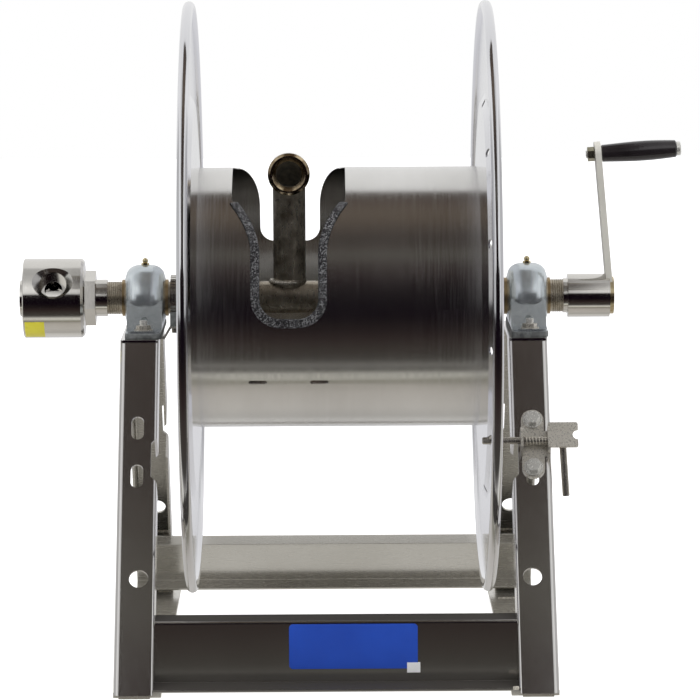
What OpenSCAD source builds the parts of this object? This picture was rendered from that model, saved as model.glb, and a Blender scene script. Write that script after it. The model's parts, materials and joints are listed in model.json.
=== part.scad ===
// Hand-crank hose reel on an A-frame stand.
// +X runs along the axle towards the crank, -Y is the front, +Z is up.
// The origin is on the floor, under the middle of the stand.

/* [Axle and drum] */
// Height of the axle's centre line above the floor
axle_h = 359; // [345:1:380]
// Outer diameter of the axle pipe and the riser pipe
pipe_d = 33.4; // [32.4:0.1:34.2]
// Wall of the axle pipe and the riser pipe
pipe_wall = 3.4; // [2.5:0.1:4]
// How far the reel sits off the stand's middle, towards the crank
reel_shift = 5.5; // [3:0.5:7]
// Outer diameter of the drum
drum_d = 268; // [262:1:274]
// Length of the drum between the discs
drum_len = 286; // [276:1:290]
// Sheet thickness of the drum
drum_wall = 1.6; // [1.2:0.1:2.5]

/* [Drum slot] */
// Distance of the slot and the riser from the reel's middle, away from the crank
slot_offset = 50.5; // [46:0.5:56]
// Width of the slot in the front of the drum
slot_w = 68; // [62:1:72]
// Width of the slot over the top of the drum
slot_top_w = 115; // [105:1:120]
// Height of the slot's lower edge in front, from the axle
slot_front_z = -13; // [-20:1:0]
// Width of the slot in the back of the drum
slot_back_w = 63; // [56:1:68]
// Height of the slot's lower edge at the back, from the axle
slot_back_z = 47; // [40:1:55]
// Width of the soft edge trim that shows on each side of the sheet's edge
trim_w = 4.5; // [3:0.5:6]
// How far the edge trim stands off the sheet, inside and outside
trim_proud = 1.6; // [1:0.2:2.4]

/* [Discs] */
// Outer diameter of the side discs
disc_d = 609.6; // [590:0.2:620]
// Sheet thickness of the side discs
disc_wall = 2; // [1.5:0.1:3]
// Diameter of the rolled bead on the rim
bead_d = 11; // [8:0.5:13]
// Outer radius of the sloping step in the disc
step_r = 209; // [208.5:0.1:214]
// How far the outer part of the disc lies outside the middle part
step_depth = 8; // [6:0.5:10]
// Radial width of the sloping step
step_slope = 9; // [6:0.5:12]
// How far the disc leans outwards between the drum and the step
cone_depth = 4; // [2:0.5:5]
// Number of lock holes round the crank side disc
lock_holes = 12; // [12:12:24]
// Radius of the ring of lock holes
lock_r = 203.4; // [201:0.1:204]

/* [Hubs] */
// Diameter of the flange that carries each disc
hub_flange_d = 118; // [110:1:130]
// Thickness of that flange
hub_flange_t = 5; // [4:0.5:8]
// Diameter of the collar outside each flange
hub_collar_d = 43; // [40:0.5:48]
// Length of that collar
hub_collar_len = 17; // [12:0.5:18]
// Outer diameter of the toothed brake ring on the inlet side
brake_ring_d = 47; // [45:0.5:50]
// Thickness of the brake ring
brake_ring_t = 6.3; // [5:0.1:7]
// Number of teeth on the brake ring
brake_ring_teeth = 40; // [30:1:48]
// Radius of the circle of bolts through flange and disc
hub_bolt_r = 46; // [40:0.5:50]
// Number of those bolts in each hub
hub_bolts = 4; // [3:1:6]
// Diameter of the bolts through hubs, bearings and lock bracket
bolt_d = 8; // [6:0.5:8]

/* [Riser and outlet] */
// Height of the outlet's centre line above the axle
outlet_z = 129.5; // [127:0.5:134]
// Bend radius of the elbow
elbow_r = 26; // [24:0.5:27]
// Distance of the outlet's face in front of the axle
outlet_face = 38; // [37.5:0.5:42]
// Outer diameter of the outlet's end ring
outlet_d = 43; // [40:0.5:46]
// Length of the outlet's end ring
outlet_ring_len = 10; // [8:0.5:10.5]

/* [Bearings] */
// Distance of each bearing from the middle between them
bearing_x = 196.9; // [196:0.1:198]
// How far the pair of bearings sits off the stand's middle, towards the crank
bearing_shift = 3; // [2:0.5:3.5]
// Width of the bearing housing along the axle
housing_w = 41.8; // [38:0.2:42]
// Height of the housing's top above the axle
housing_top = 34.3; // [33:0.1:38]
// Height of the axle above the housing's foot
housing_h = 29.5; // [28.5:0.5:34]
// Thickness of the housing's foot
foot_t = 2.5; // [2:0.1:3.5]
// Width of the housing's foot along the axle
foot_w = 36; // [32:0.5:36.5]
// Length of the housing's foot, front to back
foot_len = 140; // [132:1:142]
// Distance of the two bearing bolts from the axle, front and back
bearing_bolt_y = 60; // [57:0.5:60.4]
// Outer diameter of the bronze bushing
bushing_d = 37.8; // [36.8:0.2:40]
// Length of the bronze bushing
bushing_len = 47.6; // [44:0.2:48.4]
// Thickness of the pad under the housing
pad_t = 5.3; // [3:0.1:7]

/* [Stand] */
// Distance of each side frame's middle from the stand's middle
side_x = 197.4; // [196.8:0.1:198]
// Width of a leg's channel
leg_w = 39; // [38:0.5:40]
// Depth of a leg's channel
leg_depth = 38; // [32:0.5:42]
// Sheet thickness of the legs
leg_wall = 2.5; // [2:0.1:3]
// Slope of the legs from upright
leg_angle = 35; // [34:0.2:36]
// Half the length of the top plate under each bearing
plate_half = 80; // [78:0.5:84]
// Thickness of the top plate
plate_t = 3; // [2.5:0.1:4]
// Outside bend radius at the leg's outer corner
bend_outer = 5.5; // [3.5:0.5:6]
// Outside bend radius at the leg's inner corner
bend_inner = 3; // [3:0.1:4]
// Thickness of the shoe under each leg's face
shoe_t = 3; // [2:0.5:4]
// Thickness of the base rail along each side
rail_t = 5; // [4.5:0.5:6]
// Width of the base rail
rail_w = 46.5; // [44:0.5:48]
// Diameter of the floor bolt holes
floor_hole_d = 11; // [9:0.5:12]
// Distance between the floor bolt holes, front to back
floor_hole_y = 460; // [440:1:470]
// Distance of the floor bolt holes from the stand's middle
floor_hole_x = 205; // [200:0.5:207]

/* [Leg cut-outs] */
// Width of the two slots in a leg
leg_slot_w = 12.5; // [10:0.5:14]
// Length of the two slots
leg_slot_len = 25.7; // [24:0.1:28]
// Distance of the upper slot's middle down the leg
leg_slot_a = 100.3; // [96:0.1:103]
// Distance of the lower slot's middle down the leg
leg_slot_b = 154.1; // [150:0.1:156]
// Diameter of the round hole in a leg
leg_hole_d = 19; // [16:0.5:22]
// Distance of the round hole down the leg
leg_hole_s = 267; // [262:1:272]
// Offset of the round hole from the leg's middle, towards the reel
leg_hole_in = 3.5; // [2:0.5:5]
// Middle of the notch in the inner corner, down the leg
notch_s = 136; // [133:0.1:140]
// Length of the notch
notch_len = 49; // [40:0.5:52]
// Depth of the notch into the leg's width
notch_depth = 5.8; // [5.5:0.1:7]

/* [Cross members] */
// Distance of the front cross member's web from the stand's middle
cross_y = 262; // [258:0.5:266]
// Height of the front cross member's top above the floor
cross_h = 67.5; // [64:0.5:72]
// Width of the front member's upper flange
cross_flange = 38; // [34:0.5:42]
// Sheet thickness of the cross members
cross_wall = 2.5; // [2:0.1:3]
// Outside bend radius of the cross members
cross_bend = 3; // [3:0.1:4]
// Width of the rear cross member, which lies flat on the rear legs
rear_h = 70; // [64:0.5:72]
// Width of the rear member's two flanges
rear_flange = 16; // [14:0.5:18]
// Distance down the legs from the top plates to the rear member
rear_s = 275; // [268:0.5:278]
// Width of the blank plate on the front cross member
label_w = 126; // [110:1:130]
// Height of the blank plate
label_h = 44.5; // [36:0.5:46]
// Middle of the blank plate, towards the crank
label_x = 17; // [10:1:24]

/* [Swivel inlet] */
// Outer diameter of the swivel body
swivel_d = 81.8; // [79:0.2:85]
// Length of the swivel body
swivel_len = 62.2; // [60:0.2:64]
// Distance of the swivel body's inner end from the stand's middle
swivel_x = 256.7; // [255:0.1:258.5]
// Width across the flats of the stem's hexagon
stem_hex = 49.5; // [46:0.5:54]
// Thickness of the hexagon
stem_hex_t = 11; // [9:0.5:11.5]
// Diameter of the swivel stem inside the body
stem_d = 30; // [28:0.2:31]
// Wall of the swivel stem
stem_wall = 4; // [3:0.1:5]
// Diameter of the inlet port
port_d = 28; // [25:0.5:29]
// Angle of the inlet port above level, towards the front
port_angle = 30; // [25:1:35]
// Diameter of the threaded collar between axle and hexagon
collar_d = 38.2; // [37:0.1:42]
// Thickness of the round cap on the swivel's outer end
swivel_cap_t = 4; // [3:0.5:6]
// Radial clearance between turning and still parts
run_gap = 0.05; // [0.02:0.01:0.1]

/* [Crank] */
// Outer diameter of the crank hub
crank_hub_d = 44.8; // [43:0.2:48]
// Distance of the crank hub's inner end from the stand's middle
crank_hub_x = 241.7; // [240:0.1:244]
// Length of the crank hub
crank_hub_len = 43.3; // [42:0.1:45]
// Distance from the axle up the arm to the handle
crank_throw = 147; // [140:1:155]
// Angle by which the arm leans in towards the reel
arm_lean = 5; // [2:0.5:6]
// Angle by which the handle rises outwards
grip_tilt = 3.5; // [2:0.5:6]
// Width of the crank arm
arm_w = 25; // [22:0.5:28]
// Thickness of the crank arm
arm_t = 6.4; // [5:0.1:7]
// Length of the black grip
grip_len = 77; // [70:0.5:86]
// Largest diameter of the grip
grip_d = 20.6; // [19:0.1:24]
// Diameter of the grip at its ends
grip_end_d = 17.6; // [16:0.1:18.5]
// Diameter of the bolt that the grip turns on
spindle_d = 8; // [6:0.5:9]

/* [Pin lock] */
// Height of the lock pin's axis off the leg's face
lock_off = 9; // [8:0.1:9.5]
// Diameter of the lock pin
lock_pin_d = 7.2; // [6.4:0.1:7.4]
// Diameter of the holes that the lock pin enters
lock_hole_d = 8.8; // [8.4:0.1:9]
// How far the lock pin can be pulled
lock_travel = 18; // [17.5:0.1:18.2]
// Distance between the bracket's two bolts
bracket_pitch = 53.3; // [51:0.1:55]
// Width of the bracket's strap
bracket_w = 22.6; // [21:0.2:25]
// Sheet thickness of the bracket
bracket_t = 2.5; // [2:0.1:3]
// Clear distance between the bracket's two ears
ear_gap = 24.6; // [24.5:0.1:26]
// Length of the pull handle below the pin's axis
handle_drop = 56; // [48:1:62]
// Wire thickness of the lock spring
spring_wire = 0.55; // [0.4:0.05:0.55]
// Number of turns in the lock spring
spring_turns = 8; // [6:1:8]

/* [Hidden] */

LEFT = -1;
RIGHT = 1;
FRONT = -1;
REAR = 1;
fine = 96;
round_fn = 48;
small_fn = 32;
overcut = 1;

plate_z = axle_h - housing_h - pad_t;
slope = tan(leg_angle);
leg_len = plate_z / cos(leg_angle);
cross_len = 2 * side_x - leg_w;
drum_r = drum_d / 2;
bead_r = bead_d / 2;
disc_x = drum_len / 2;
annulus_x = disc_x + step_depth;
hub_bore_gap = 0.1;
hub_end = disc_x + disc_wall + hub_flange_t + hub_collar_len;
bolt_hole_d = bolt_d + 0.8;
bolt_head_af = bolt_d * 1.625;
bolt_head_t = bolt_d * 0.66;
nut_t = bolt_d * 0.8;
washer_t = 1.6;
// Low nuts and thin washers on the bearing bolts
low_nut_t = 4;
low_washer_t = 0.9;
washer_d = bolt_d * 2.4;
fit_gap = 0.3;

stem_end_x = swivel_x + swivel_len - 12;
hex_gap = 0.8;
collar_len = 12;
collar_x = swivel_x - hex_gap - stem_hex_t;
seal_d = stem_d + 6;
seal_len = 12;
swivel_end_wall = 8;
chamber_x = swivel_x + swivel_len / 2;
port_inner_d = 18.4;
port_depth = 12.7;
port_chamfer = 7;
port_floor = swivel_d / 2 - port_chamfer - port_depth;
axle_left = -(collar_x - 1);
axle_right = crank_hub_x + crank_hub_len - 8;

crank_end_x = crank_hub_x + crank_hub_len;
end_plate_d = crank_hub_d - 6.3;
end_plate_t = 4.3;
arm_foot_x = crank_end_x + 0.9;
arm_top_gap = 0.5;
spindle_head_d = 14.3;
spindle_head_t = 4.2;

leg_top_y = plate_half;
lock_y = lock_r * cos(lock_hole_angle());
lock_z = axle_h - lock_r * sin(lock_hole_angle());
lock_s = leg_s(lock_z - lock_off * sin(leg_angle));
lock_tip_x = reel_shift + disc_x - 1;
lock_elbow_r = 7.5;
handle_lean = 3.8;
ear_t = bracket_t;
ear_half = 14;
ear_top = lock_off + 7.5;
ear_mid_x = side_x + 3.2;
bracket_x = side_x + 1.2;
wing_len = 27.5;
wing_w = 27;
wing_shift = 3;
wing_end_x = ear_mid_x + ear_gap / 2 + ear_t + wing_w;
handle_x = wing_end_x + lock_pin_d / 2 + fit_gap - lock_travel;
pin_hole_d = lock_pin_d + 0.2;
pin_clip_t = 0.8;
spring_washer_t = 0.6;
stack_gap = 0.1;
spring_mid_d = lock_pin_d + 0.6 + spring_wire;
clip_x0 = ear_mid_x - ear_gap / 2 + stack_gap;
spring_x0 = clip_x0 + pin_clip_t + stack_gap + spring_washer_t;
spring_x1 = ear_mid_x + ear_gap / 2;

// y of a front leg's face at height z, and the distance down the leg of that point
function leg_y(z) = -(leg_top_y + slope * (plate_z - z));
function leg_s(z) = (plate_z - z) / cos(leg_angle);

// Distance of the pin's line from the axle, and the angle below level at which that line
// crosses the ring of lock holes
function lock_line() = (leg_top_y + slope * (plate_z - axle_h)) * cos(leg_angle) + lock_off;
function lock_hole_angle() = acos(lock_line() / lock_r) - leg_angle;

module at_reel() {
    translate([reel_shift, 0, axle_h]) children();
}

// Turns the Z axis to +X
module along_x() {
    rotate([0, 90, 0]) children();
}

// A side of the reel: the left one is the mirror image of the right one
module reel_side(side) {
    at_reel() scale_side(side) children();
}

module scale_side(side) {
    mirror([side < 0 ? 1 : 0, 0, 0]) children();
}

// A leg's place: local X is outwards, local Y is into the stand, local Z is up the leg
module leg_place(side, end) {
    scale_side(side)
        mirror([0, end > 0 ? 1 : 0, 0])
            translate([side_x, -leg_top_y, plate_z])
                rotate([-leg_angle, 0, 0])
                    children();
}

module tube(outer, inner, len) {
    difference() {
        cylinder(d = outer, h = len, $fn = fine);
        translate([0, 0, -overcut]) cylinder(d = inner, h = len + 2 * overcut, $fn = fine);
    }
}

module hexagon(af, h) {
    cylinder(d = af / cos(30), h = h, $fn = 6);
}

// A flat shape with round ends: len is over all
module stadium(len, w) {
    square([w, len - w], center = true);
    for (k = [-1, 1]) translate([0, k * (len - w) / 2]) circle(d = w, $fn = round_fn);
}

module round_box_2d(w, h, r) {
    square([w - 2 * r, h], center = true);
    square([w, h - 2 * r], center = true);
    for (i = [-1, 1], j = [-1, 1])
        translate([i * (w / 2 - r), j * (h / 2 - r)]) circle(r = r, $fn = round_fn);
}

// ---- Stand

module channel_outline(w, depth, r_left, r_right) {
    translate([-w / 2, r_left]) square([w / 2, depth - r_left]);
    translate([0, r_right]) square([w / 2, depth - r_right]);
    translate([-w / 2 + r_left, 0]) square([w - r_left - r_right, depth]);
    translate([-w / 2 + r_left, r_left]) circle(r = r_left, $fn = round_fn);
    translate([w / 2 - r_right, r_right]) circle(r = r_right, $fn = round_fn);
}

module channel_section() {
    difference() {
        channel_outline(leg_w, leg_depth, bend_inner, bend_outer);
        translate([0, leg_wall])
            channel_outline(leg_w - 2 * leg_wall, leg_depth, bend_inner - leg_wall, bend_outer - leg_wall);
    }
}

module leg_cutouts() {
    cut = leg_wall + 2 * overcut;
    for (s = [leg_slot_a, leg_slot_b])
        translate([0, cut - overcut, -s]) rotate([90, 0, 0])
            linear_extrude(cut) stadium(leg_slot_len, leg_slot_w);
    translate([-leg_hole_in, cut - overcut, -leg_hole_s]) rotate([90, 0, 0])
        cylinder(d = leg_hole_d, h = cut, $fn = round_fn);
    // The notch in the inner corner, with sloping ends
    translate([-leg_w / 2, -overcut, -notch_s]) rotate([-90, 0, 0])
        linear_extrude(leg_depth + 2 * overcut)
            polygon([
                [-overcut, -notch_len / 2 - overcut], [notch_depth, -notch_len / 2 + notch_depth],
                [notch_depth, notch_len / 2 - notch_depth], [-overcut, notch_len / 2 + overcut]
            ]);
}

module leg(side, end) {
    reach = leg_len + leg_depth;
    difference() {
        intersection() {
            leg_place(side, end)
                difference() {
                    translate([0, 0, -reach]) linear_extrude(reach + leg_depth) channel_section();
                    leg_cutouts();
                }
            translate([-2 * side_x, -2 * axle_h, shoe_t])
                cube([4 * side_x, 4 * axle_h, plate_z - plate_t - shoe_t]);
        }
        scale_side(side) rail_block(overcut);
    }
}

module front_leg_left() {
    color("#b9b8b4") leg(LEFT, FRONT);
}

module front_leg_right() {
    color("#b9b8b4") leg(RIGHT, FRONT);
}

module rear_leg_left() {
    color("#a9a89f") leg(LEFT, REAR);
}

module rear_leg_right() {
    color("#a9a89f") leg(RIGHT, REAR);
}

module top_plate(side) {
    difference() {
        translate([side * side_x, 0, plate_z - plate_t])
            linear_extrude(plate_t) round_box_2d(leg_w, 2 * plate_half, bend_inner);
        bearing_bolt_holes(side, plate_z - plate_t, plate_t);
    }
}

module top_plate_left() {
    color("#c4c3bf") top_plate(LEFT);
}

module top_plate_right() {
    color("#c4c3bf") top_plate(RIGHT);
}

rail_end = -leg_y(rail_t) - leg_wall / cos(leg_angle);
rail_outer_x = side_x + leg_w / 2;

// The right side's rail without its holes, with extra depth below for cutting
module rail_block(extra = 0) {
    translate([rail_outer_x - rail_w, -rail_end, -extra])
        cube([rail_w, 2 * rail_end, rail_t + extra]);
}

module base_rail(side) {
    scale_side(side)
        difference() {
            rail_block();
            for (k = [-1, 1])
                translate([floor_hole_x, k * floor_hole_y / 2, -overcut])
                    cylinder(d = floor_hole_d, h = rail_t + 2 * overcut, $fn = round_fn);
        }
}

module base_rail_left() {
    color("#8e8d86") base_rail(LEFT);
}

module base_rail_right() {
    color("#8e8d86") base_rail(RIGHT);
}

module leg_shoes() {
    toe = -leg_y(0);
    color("#6b6b68")
        for (side = [LEFT, RIGHT], end = [FRONT, REAR])
            scale_side(side) mirror([0, end > 0 ? 1 : 0, 0])
                translate([side_x - leg_w / 2 + bend_inner, -toe, 0])
                    cube([leg_w - bend_inner - bend_outer, toe - rail_end, shoe_t]);
}

// A member's web with its upper flange and the bend between them
module cross_web(h, flange) {
    translate([0, cross_bend]) square([cross_wall, h - 2 * cross_bend]);
    translate([cross_bend, h - cross_wall]) square([flange - cross_bend, cross_wall]);
    translate([cross_bend, h - cross_bend]) corner(90, cross_bend - cross_wall);
}

// The front member is a Z-shaped sheet: its upper flange points into the stand, and its
// lower flange points forwards, as a lip on the floor side
module front_cross_section() {
    lip = -leg_y(rail_t + cross_wall) - cross_y;
    inner = cross_bend - cross_wall;
    cross_web(cross_h - rail_t, cross_flange);
    translate([-lip, 0]) square([lip - inner, cross_wall]);
    translate([-inner, cross_bend]) corner(270, inner);
}

// The rear member is a channel, open into the stand
module rear_cross_section() {
    cross_web(rear_h, rear_flange);
    translate([cross_bend, 0]) square([rear_flange - cross_bend, cross_wall]);
    translate([cross_bend, cross_bend]) corner(180, cross_bend - cross_wall);
}

// A quarter of a bent sheet's section, from its inner radius out by the sheet's thickness
module corner(turn, inner) {
    rotate(turn)
        intersection() {
            difference() {
                circle(r = inner + cross_wall, $fn = round_fn);
                circle(r = inner, $fn = round_fn);
            }
            square(inner + cross_wall + overcut);
        }
}

module front_cross_member() {
    color("#8b8a87")
        translate([-cross_len / 2, -cross_y, rail_t])
            rotate([90, 0, 90]) linear_extrude(cross_len) front_cross_section();
}

// It leans with the rear legs and spans both, on their open side
module rear_cross_member() {
    color("#aaa9a2")
        mirror([0, 1, 0])
            translate([0, -leg_top_y, plate_z]) rotate([-leg_angle, 0, 0])
                translate([-side_x - leg_w / 2, leg_depth, -rear_s - rear_h])
                    rotate([90, 0, 90]) linear_extrude(2 * side_x + leg_w) rear_cross_section();
}

label_t = 0.8;
label_z = cross_h - cross_bend - label_h / 2;

module label_block() {
    translate([label_x, -cross_y, label_z])
        rotate([90, 0, 0]) linear_extrude(label_t) round_box_2d(label_w, label_h, 4);
}

module blank_plate() {
    color("#2148a8") label_block();
}

module blank_tag() {
    tag_w = 13;
    tag_h = 10;
    tag_t = label_t + 0.4;
    color("white")
        difference() {
            translate([label_x + label_w / 2 - 4, -cross_y - tag_t / 2, label_z - label_h / 2 + 1])
                cube([tag_w, tag_t, tag_h], center = true);
            label_block();
        }
}

// ---- Bearings

function housing_x(side) = bearing_shift + side * bearing_x;

module bearing_bolt_holes(side, z, h) {
    for (k = [-1, 1])
        translate([housing_x(side), k * bearing_bolt_y, z - overcut])
            cylinder(d = bolt_hole_d, h = h + 2 * overcut, $fn = round_fn);
}

module bearing_pad(side) {
    difference() {
        translate([housing_x(side), 0, plate_z])
            linear_extrude(pad_t) round_box_2d(foot_w + 1.4, foot_len + 4, 4);
        bearing_bolt_holes(side, plate_z, pad_t);
    }
}

module bearing_pad_left() {
    color("#4a4e4e") bearing_pad(LEFT);
}

module bearing_pad_right() {
    color("#4a4e4e") bearing_pad(RIGHT);
}

// Radius of the housing's dome at a share u of its half width
function dome_r(u) = 20 + (housing_top - 20) * pow(1 - pow(u, 3.2), 0.55);

module dome() {
    steps = 10;
    half = housing_w / 2;
    along_x() rotate_extrude($fn = fine)
        polygon(concat(
            [[0, -half]],
            [for (i = [-steps:steps]) [dome_r(abs(i) / steps), half * i / steps]],
            [[0, half]]
        ));
}

module housing(side) {
    foot_z = axle_h - housing_h;
    apron_low = 44;
    apron_high = 31;
    recess_d = 6.8;
    recess_y = 34;
    recess_rise = 10.3;
    difference() {
        union() {
            translate([housing_x(side), 0, axle_h]) dome();
            translate([housing_x(side), 0, foot_z]) {
                linear_extrude(foot_t) round_box_2d(foot_w, foot_len, 6);
                rotate([90, 0, 90])
                    translate([0, 0, -foot_w / 2]) linear_extrude(foot_w)
                        polygon([
                            [-apron_low, foot_t], [apron_low, foot_t],
                            [apron_high, housing_h], [-apron_high, housing_h]
                        ]);
            }
        }
        translate([housing_x(side) - housing_w, 0, axle_h])
            along_x() cylinder(d = bushing_d, h = 2 * housing_w, $fn = fine);
        bearing_bolt_holes(side, foot_z, foot_t);
        // Dome material below the foot's underside
        translate([housing_x(side) - housing_w, -foot_len, foot_z - 2 * housing_top])
            cube([2 * housing_w, 2 * foot_len, 2 * housing_top]);
        // Round recesses over the bolts, front and back
        for (k = [-1, 1])
            translate([housing_x(side), k * recess_y, foot_z + recess_rise]) rotate([-k * 90, 0, 0])
                cylinder(d = recess_d, h = foot_len, $fn = small_fn);
        // Screw hole of the grease nipple
        translate([housing_x(side), 0, axle_h + bushing_d / 2 - overcut])
            cylinder(d = nipple_thread_d, h = housing_top, $fn = small_fn);
    }
}

module bearing_housing_left() {
    color("#b4bcc2") housing(LEFT);
}

module bearing_housing_right() {
    color("#b4bcc2") housing(RIGHT);
}

module bushing(side) {
    translate([housing_x(side) - bushing_len / 2, 0, axle_h])
        along_x() tube(bushing_d, pipe_d + 2 * run_gap, bushing_len);
}

module bushing_left() {
    color("#a8763a") bushing(LEFT);
}

module bushing_right() {
    color("#a8763a") bushing(RIGHT);
}

nipple_thread_d = 5;
nipple_ball_d = 6;

module grease_nipples() {
    stem_top = housing_top + 4;
    color("#b99a4a")
        for (side = [LEFT, RIGHT])
            translate([housing_x(side), 0, axle_h]) {
                translate([0, 0, bushing_d / 2 + fit_gap])
                    cylinder(d = nipple_thread_d, h = housing_top - bushing_d / 2 - fit_gap, $fn = small_fn);
                translate([0, 0, housing_top]) hexagon(7, 1.8);
                translate([0, 0, housing_top]) cylinder(d = 3.4, h = 5, $fn = small_fn);
                translate([0, 0, stem_top]) sphere(d = nipple_ball_d, $fn = small_fn);
            }
}

// A hexagon bolt, its head below z = 0 and its shank up to len
module hex_bolt(len) {
    translate([0, 0, -bolt_head_t]) hexagon(bolt_head_af, bolt_head_t);
    cylinder(d = bolt_d, h = len, $fn = round_fn);
}

// A nut on a washer, standing on z = 0
module nut_and_washer(nut_h, washer_h) {
    difference() {
        union() {
            cylinder(d = washer_d, h = washer_h, $fn = round_fn);
            hexagon(bolt_head_af, washer_h + nut_h);
        }
        translate([0, 0, -overcut]) cylinder(d = bolt_d + 0.1, h = 2 * nut_t + washer_d, $fn = round_fn);
    }
}

module bearing_bolts() {
    stack = plate_t + pad_t + foot_t + low_washer_t + low_nut_t;
    color("#9a9a94")
        for (side = [LEFT, RIGHT], k = [-1, 1])
            translate([housing_x(side), k * bearing_bolt_y, plate_z - plate_t]) hex_bolt(stack + 5.2);
}

module bearing_nuts() {
    color("#8a8478")
        for (side = [LEFT, RIGHT], k = [-1, 1])
            translate([housing_x(side), k * bearing_bolt_y, axle_h - housing_h + foot_t])
                nut_and_washer(low_nut_t, low_washer_t);
}

// ---- Drag brake beside the left hub

brake_w = 14;
brake_strap_t = 2;
brake_y = -24;
ring_x0 = reel_shift - hub_end - brake_ring_t;
brake_rise = 8;

// The toothed ring on the axle, which the brake block rubs on
module brake_ring() {
    color("#8c8c88")
        translate([ring_x0, 0, axle_h]) along_x() difference() {
            tube(brake_ring_d, pipe_d + 2 * hub_bore_gap, brake_ring_t);
            // Teeth: shallow grooves round the ring
            for (i = [0:brake_ring_teeth - 1])
                rotate((i + 0.5) * 360 / brake_ring_teeth)
                    translate([brake_ring_d / 2 + 0.4, 0, -overcut])
                        cylinder(d = 2, h = brake_ring_t + 2 * overcut, $fn = 4);
        }
}

// The strap lies under the top plate and bends up beside the bearing pad
module brake_section() {
    under = plate_z - plate_t;
    top = brake_top - brake_strap_t;
    x0 = -side_x + 6;
    x1 = -(side_x - leg_w / 2) + 4.5;
    x2 = x1 + 6.5;
    x3 = ring_x0 + brake_ring_t + 1;
    polygon([
        [x0, under - brake_strap_t], [x1, under - brake_strap_t], [x2, top], [x3, top],
        [x3, brake_top], [x2 - 1.2, brake_top], [x1 - 1.2, under], [x0, under]
    ]);
}

module brake_strap() {
    color("#8f8a7c")
        difference() {
            translate([0, brake_y + brake_w / 2, 0]) rotate([90, 0, 0]) linear_extrude(brake_w) brake_section();
            translate([brake_bolt_x, brake_y, plate_z])
                cylinder(d = brake_bolt_d + 0.4, h = 2 * brake_rise, $fn = small_fn);
        }
}

brake_bolt_d = 4;
brake_bolt_in = 7;
brake_bolt_x = ring_x0 + brake_ring_t / 2 + 1.5;
brake_block_h = 14;
brake_top = plate_z + brake_rise;

module brake_block() {
    color("#2b2b2b")
        difference() {
            translate([ring_x0, brake_y - brake_w / 2, brake_top])
                cube([brake_ring_t, brake_w, brake_block_h]);
            translate([ring_x0 - overcut, 0, axle_h])
                along_x() cylinder(d = brake_ring_d + 2 * fit_gap, h = brake_ring_t + 2 * overcut, $fn = fine);
            translate([brake_bolt_x, brake_y, brake_top - overcut])
                cylinder(d = brake_bolt_d, h = brake_bolt_in + overcut, $fn = small_fn);
        }
}

module brake_bolt() {
    color("#8a8478")
        translate([brake_bolt_x, brake_y, brake_top - brake_strap_t]) {
            translate([0, 0, -5]) hexagon(5.6, 5);
            cylinder(d = brake_bolt_d, h = brake_strap_t + brake_bolt_in, $fn = small_fn);
        }
}

// ---- Reel

module axle_pipe() {
    color("#8d8a80")
        difference() {
            translate([axle_left, 0, axle_h]) along_x() tube(pipe_d, pipe_d - 2 * pipe_wall, axle_right - axle_left);
            translate([reel_shift - slot_offset, 0, axle_h])
                cylinder(d = pipe_d - 2 * pipe_wall, h = pipe_d, $fn = fine);
        }
}

// Closes the axle pipe beyond the riser, so that the water turns up into it
module flow_plug() {
    color("#77756c")
        translate([reel_shift - slot_offset + pipe_d, 0, axle_h])
            along_x() cylinder(d = pipe_d - 2 * pipe_wall, h = 8, $fn = fine);
}

riser_top = outlet_z - elbow_r;

riser_low = pipe_d / 2 - 1.2;

// The riser is cut square and stands on the axle pipe in a thick ring of weld
module riser_pipe() {
    bore_r = pipe_d / 2 - pipe_wall;
    color("#9a968a")
        translate([reel_shift - slot_offset, 0, axle_h])
            difference() {
                rotate_extrude($fn = fine)
                    polygon([
                        [bore_r, riser_low - 5.7], [pipe_d / 2 - 2.6, riser_low - 5.9],
                        [pipe_d / 2 - 0.1, riser_low - 2.7], [pipe_d / 2 + 1, riser_low + 0.2],
                        [pipe_d / 2 + 0.7, riser_low + 2.2], [pipe_d / 2, riser_low + 3.4],
                        [pipe_d / 2, riser_top], [bore_r, riser_top]
                    ]);
                translate([-pipe_d, 0, 0]) along_x() cylinder(d = pipe_d, h = 2 * pipe_d, $fn = fine);
            }
}

module outlet_elbow() {
    bore = pipe_d - 2 * pipe_wall;
    flare = 4;
    color("#8f8560")
        translate([reel_shift - slot_offset, 0, axle_h + riser_top]) {
            translate([0, -elbow_r, 0]) rotate([90, 0, 90])
                rotate_extrude(angle = 90, $fn = fine) translate([elbow_r, 0]) difference() {
                    circle(d = pipe_d, $fn = round_fn);
                    circle(d = bore, $fn = round_fn);
                }
            translate([0, -elbow_r, elbow_r]) rotate([90, 0, 0])
                rotate_extrude($fn = fine)
                    polygon([
                        [bore / 2, 0], [pipe_d / 2, 0],
                        [pipe_d / 2, outlet_face - elbow_r - outlet_ring_len],
                        [outlet_d / 2 - 1, outlet_face - elbow_r - outlet_ring_len],
                        [outlet_d / 2, outlet_face - elbow_r - outlet_ring_len + 1],
                        [outlet_d / 2, outlet_face - elbow_r - 2.5],
                        [outlet_d / 2 - 2.5, outlet_face - elbow_r],
                        [bore / 2 + flare, outlet_face - elbow_r],
                        [bore / 2, outlet_face - elbow_r - flare]
                    ]);
        }
}

// Height and half width at a share t of the flare: the front one opens slowly, the back
// one is a quarter of an oval with round shoulders
function flare_rise(t, rounded) = rounded ? sin(90 * t) : t;
function flare(t, w, rounded) =
    w / 2 + (slot_top_w - w) / 2 * (rounded ? 1 - cos(90 * t) : t * t);

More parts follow.
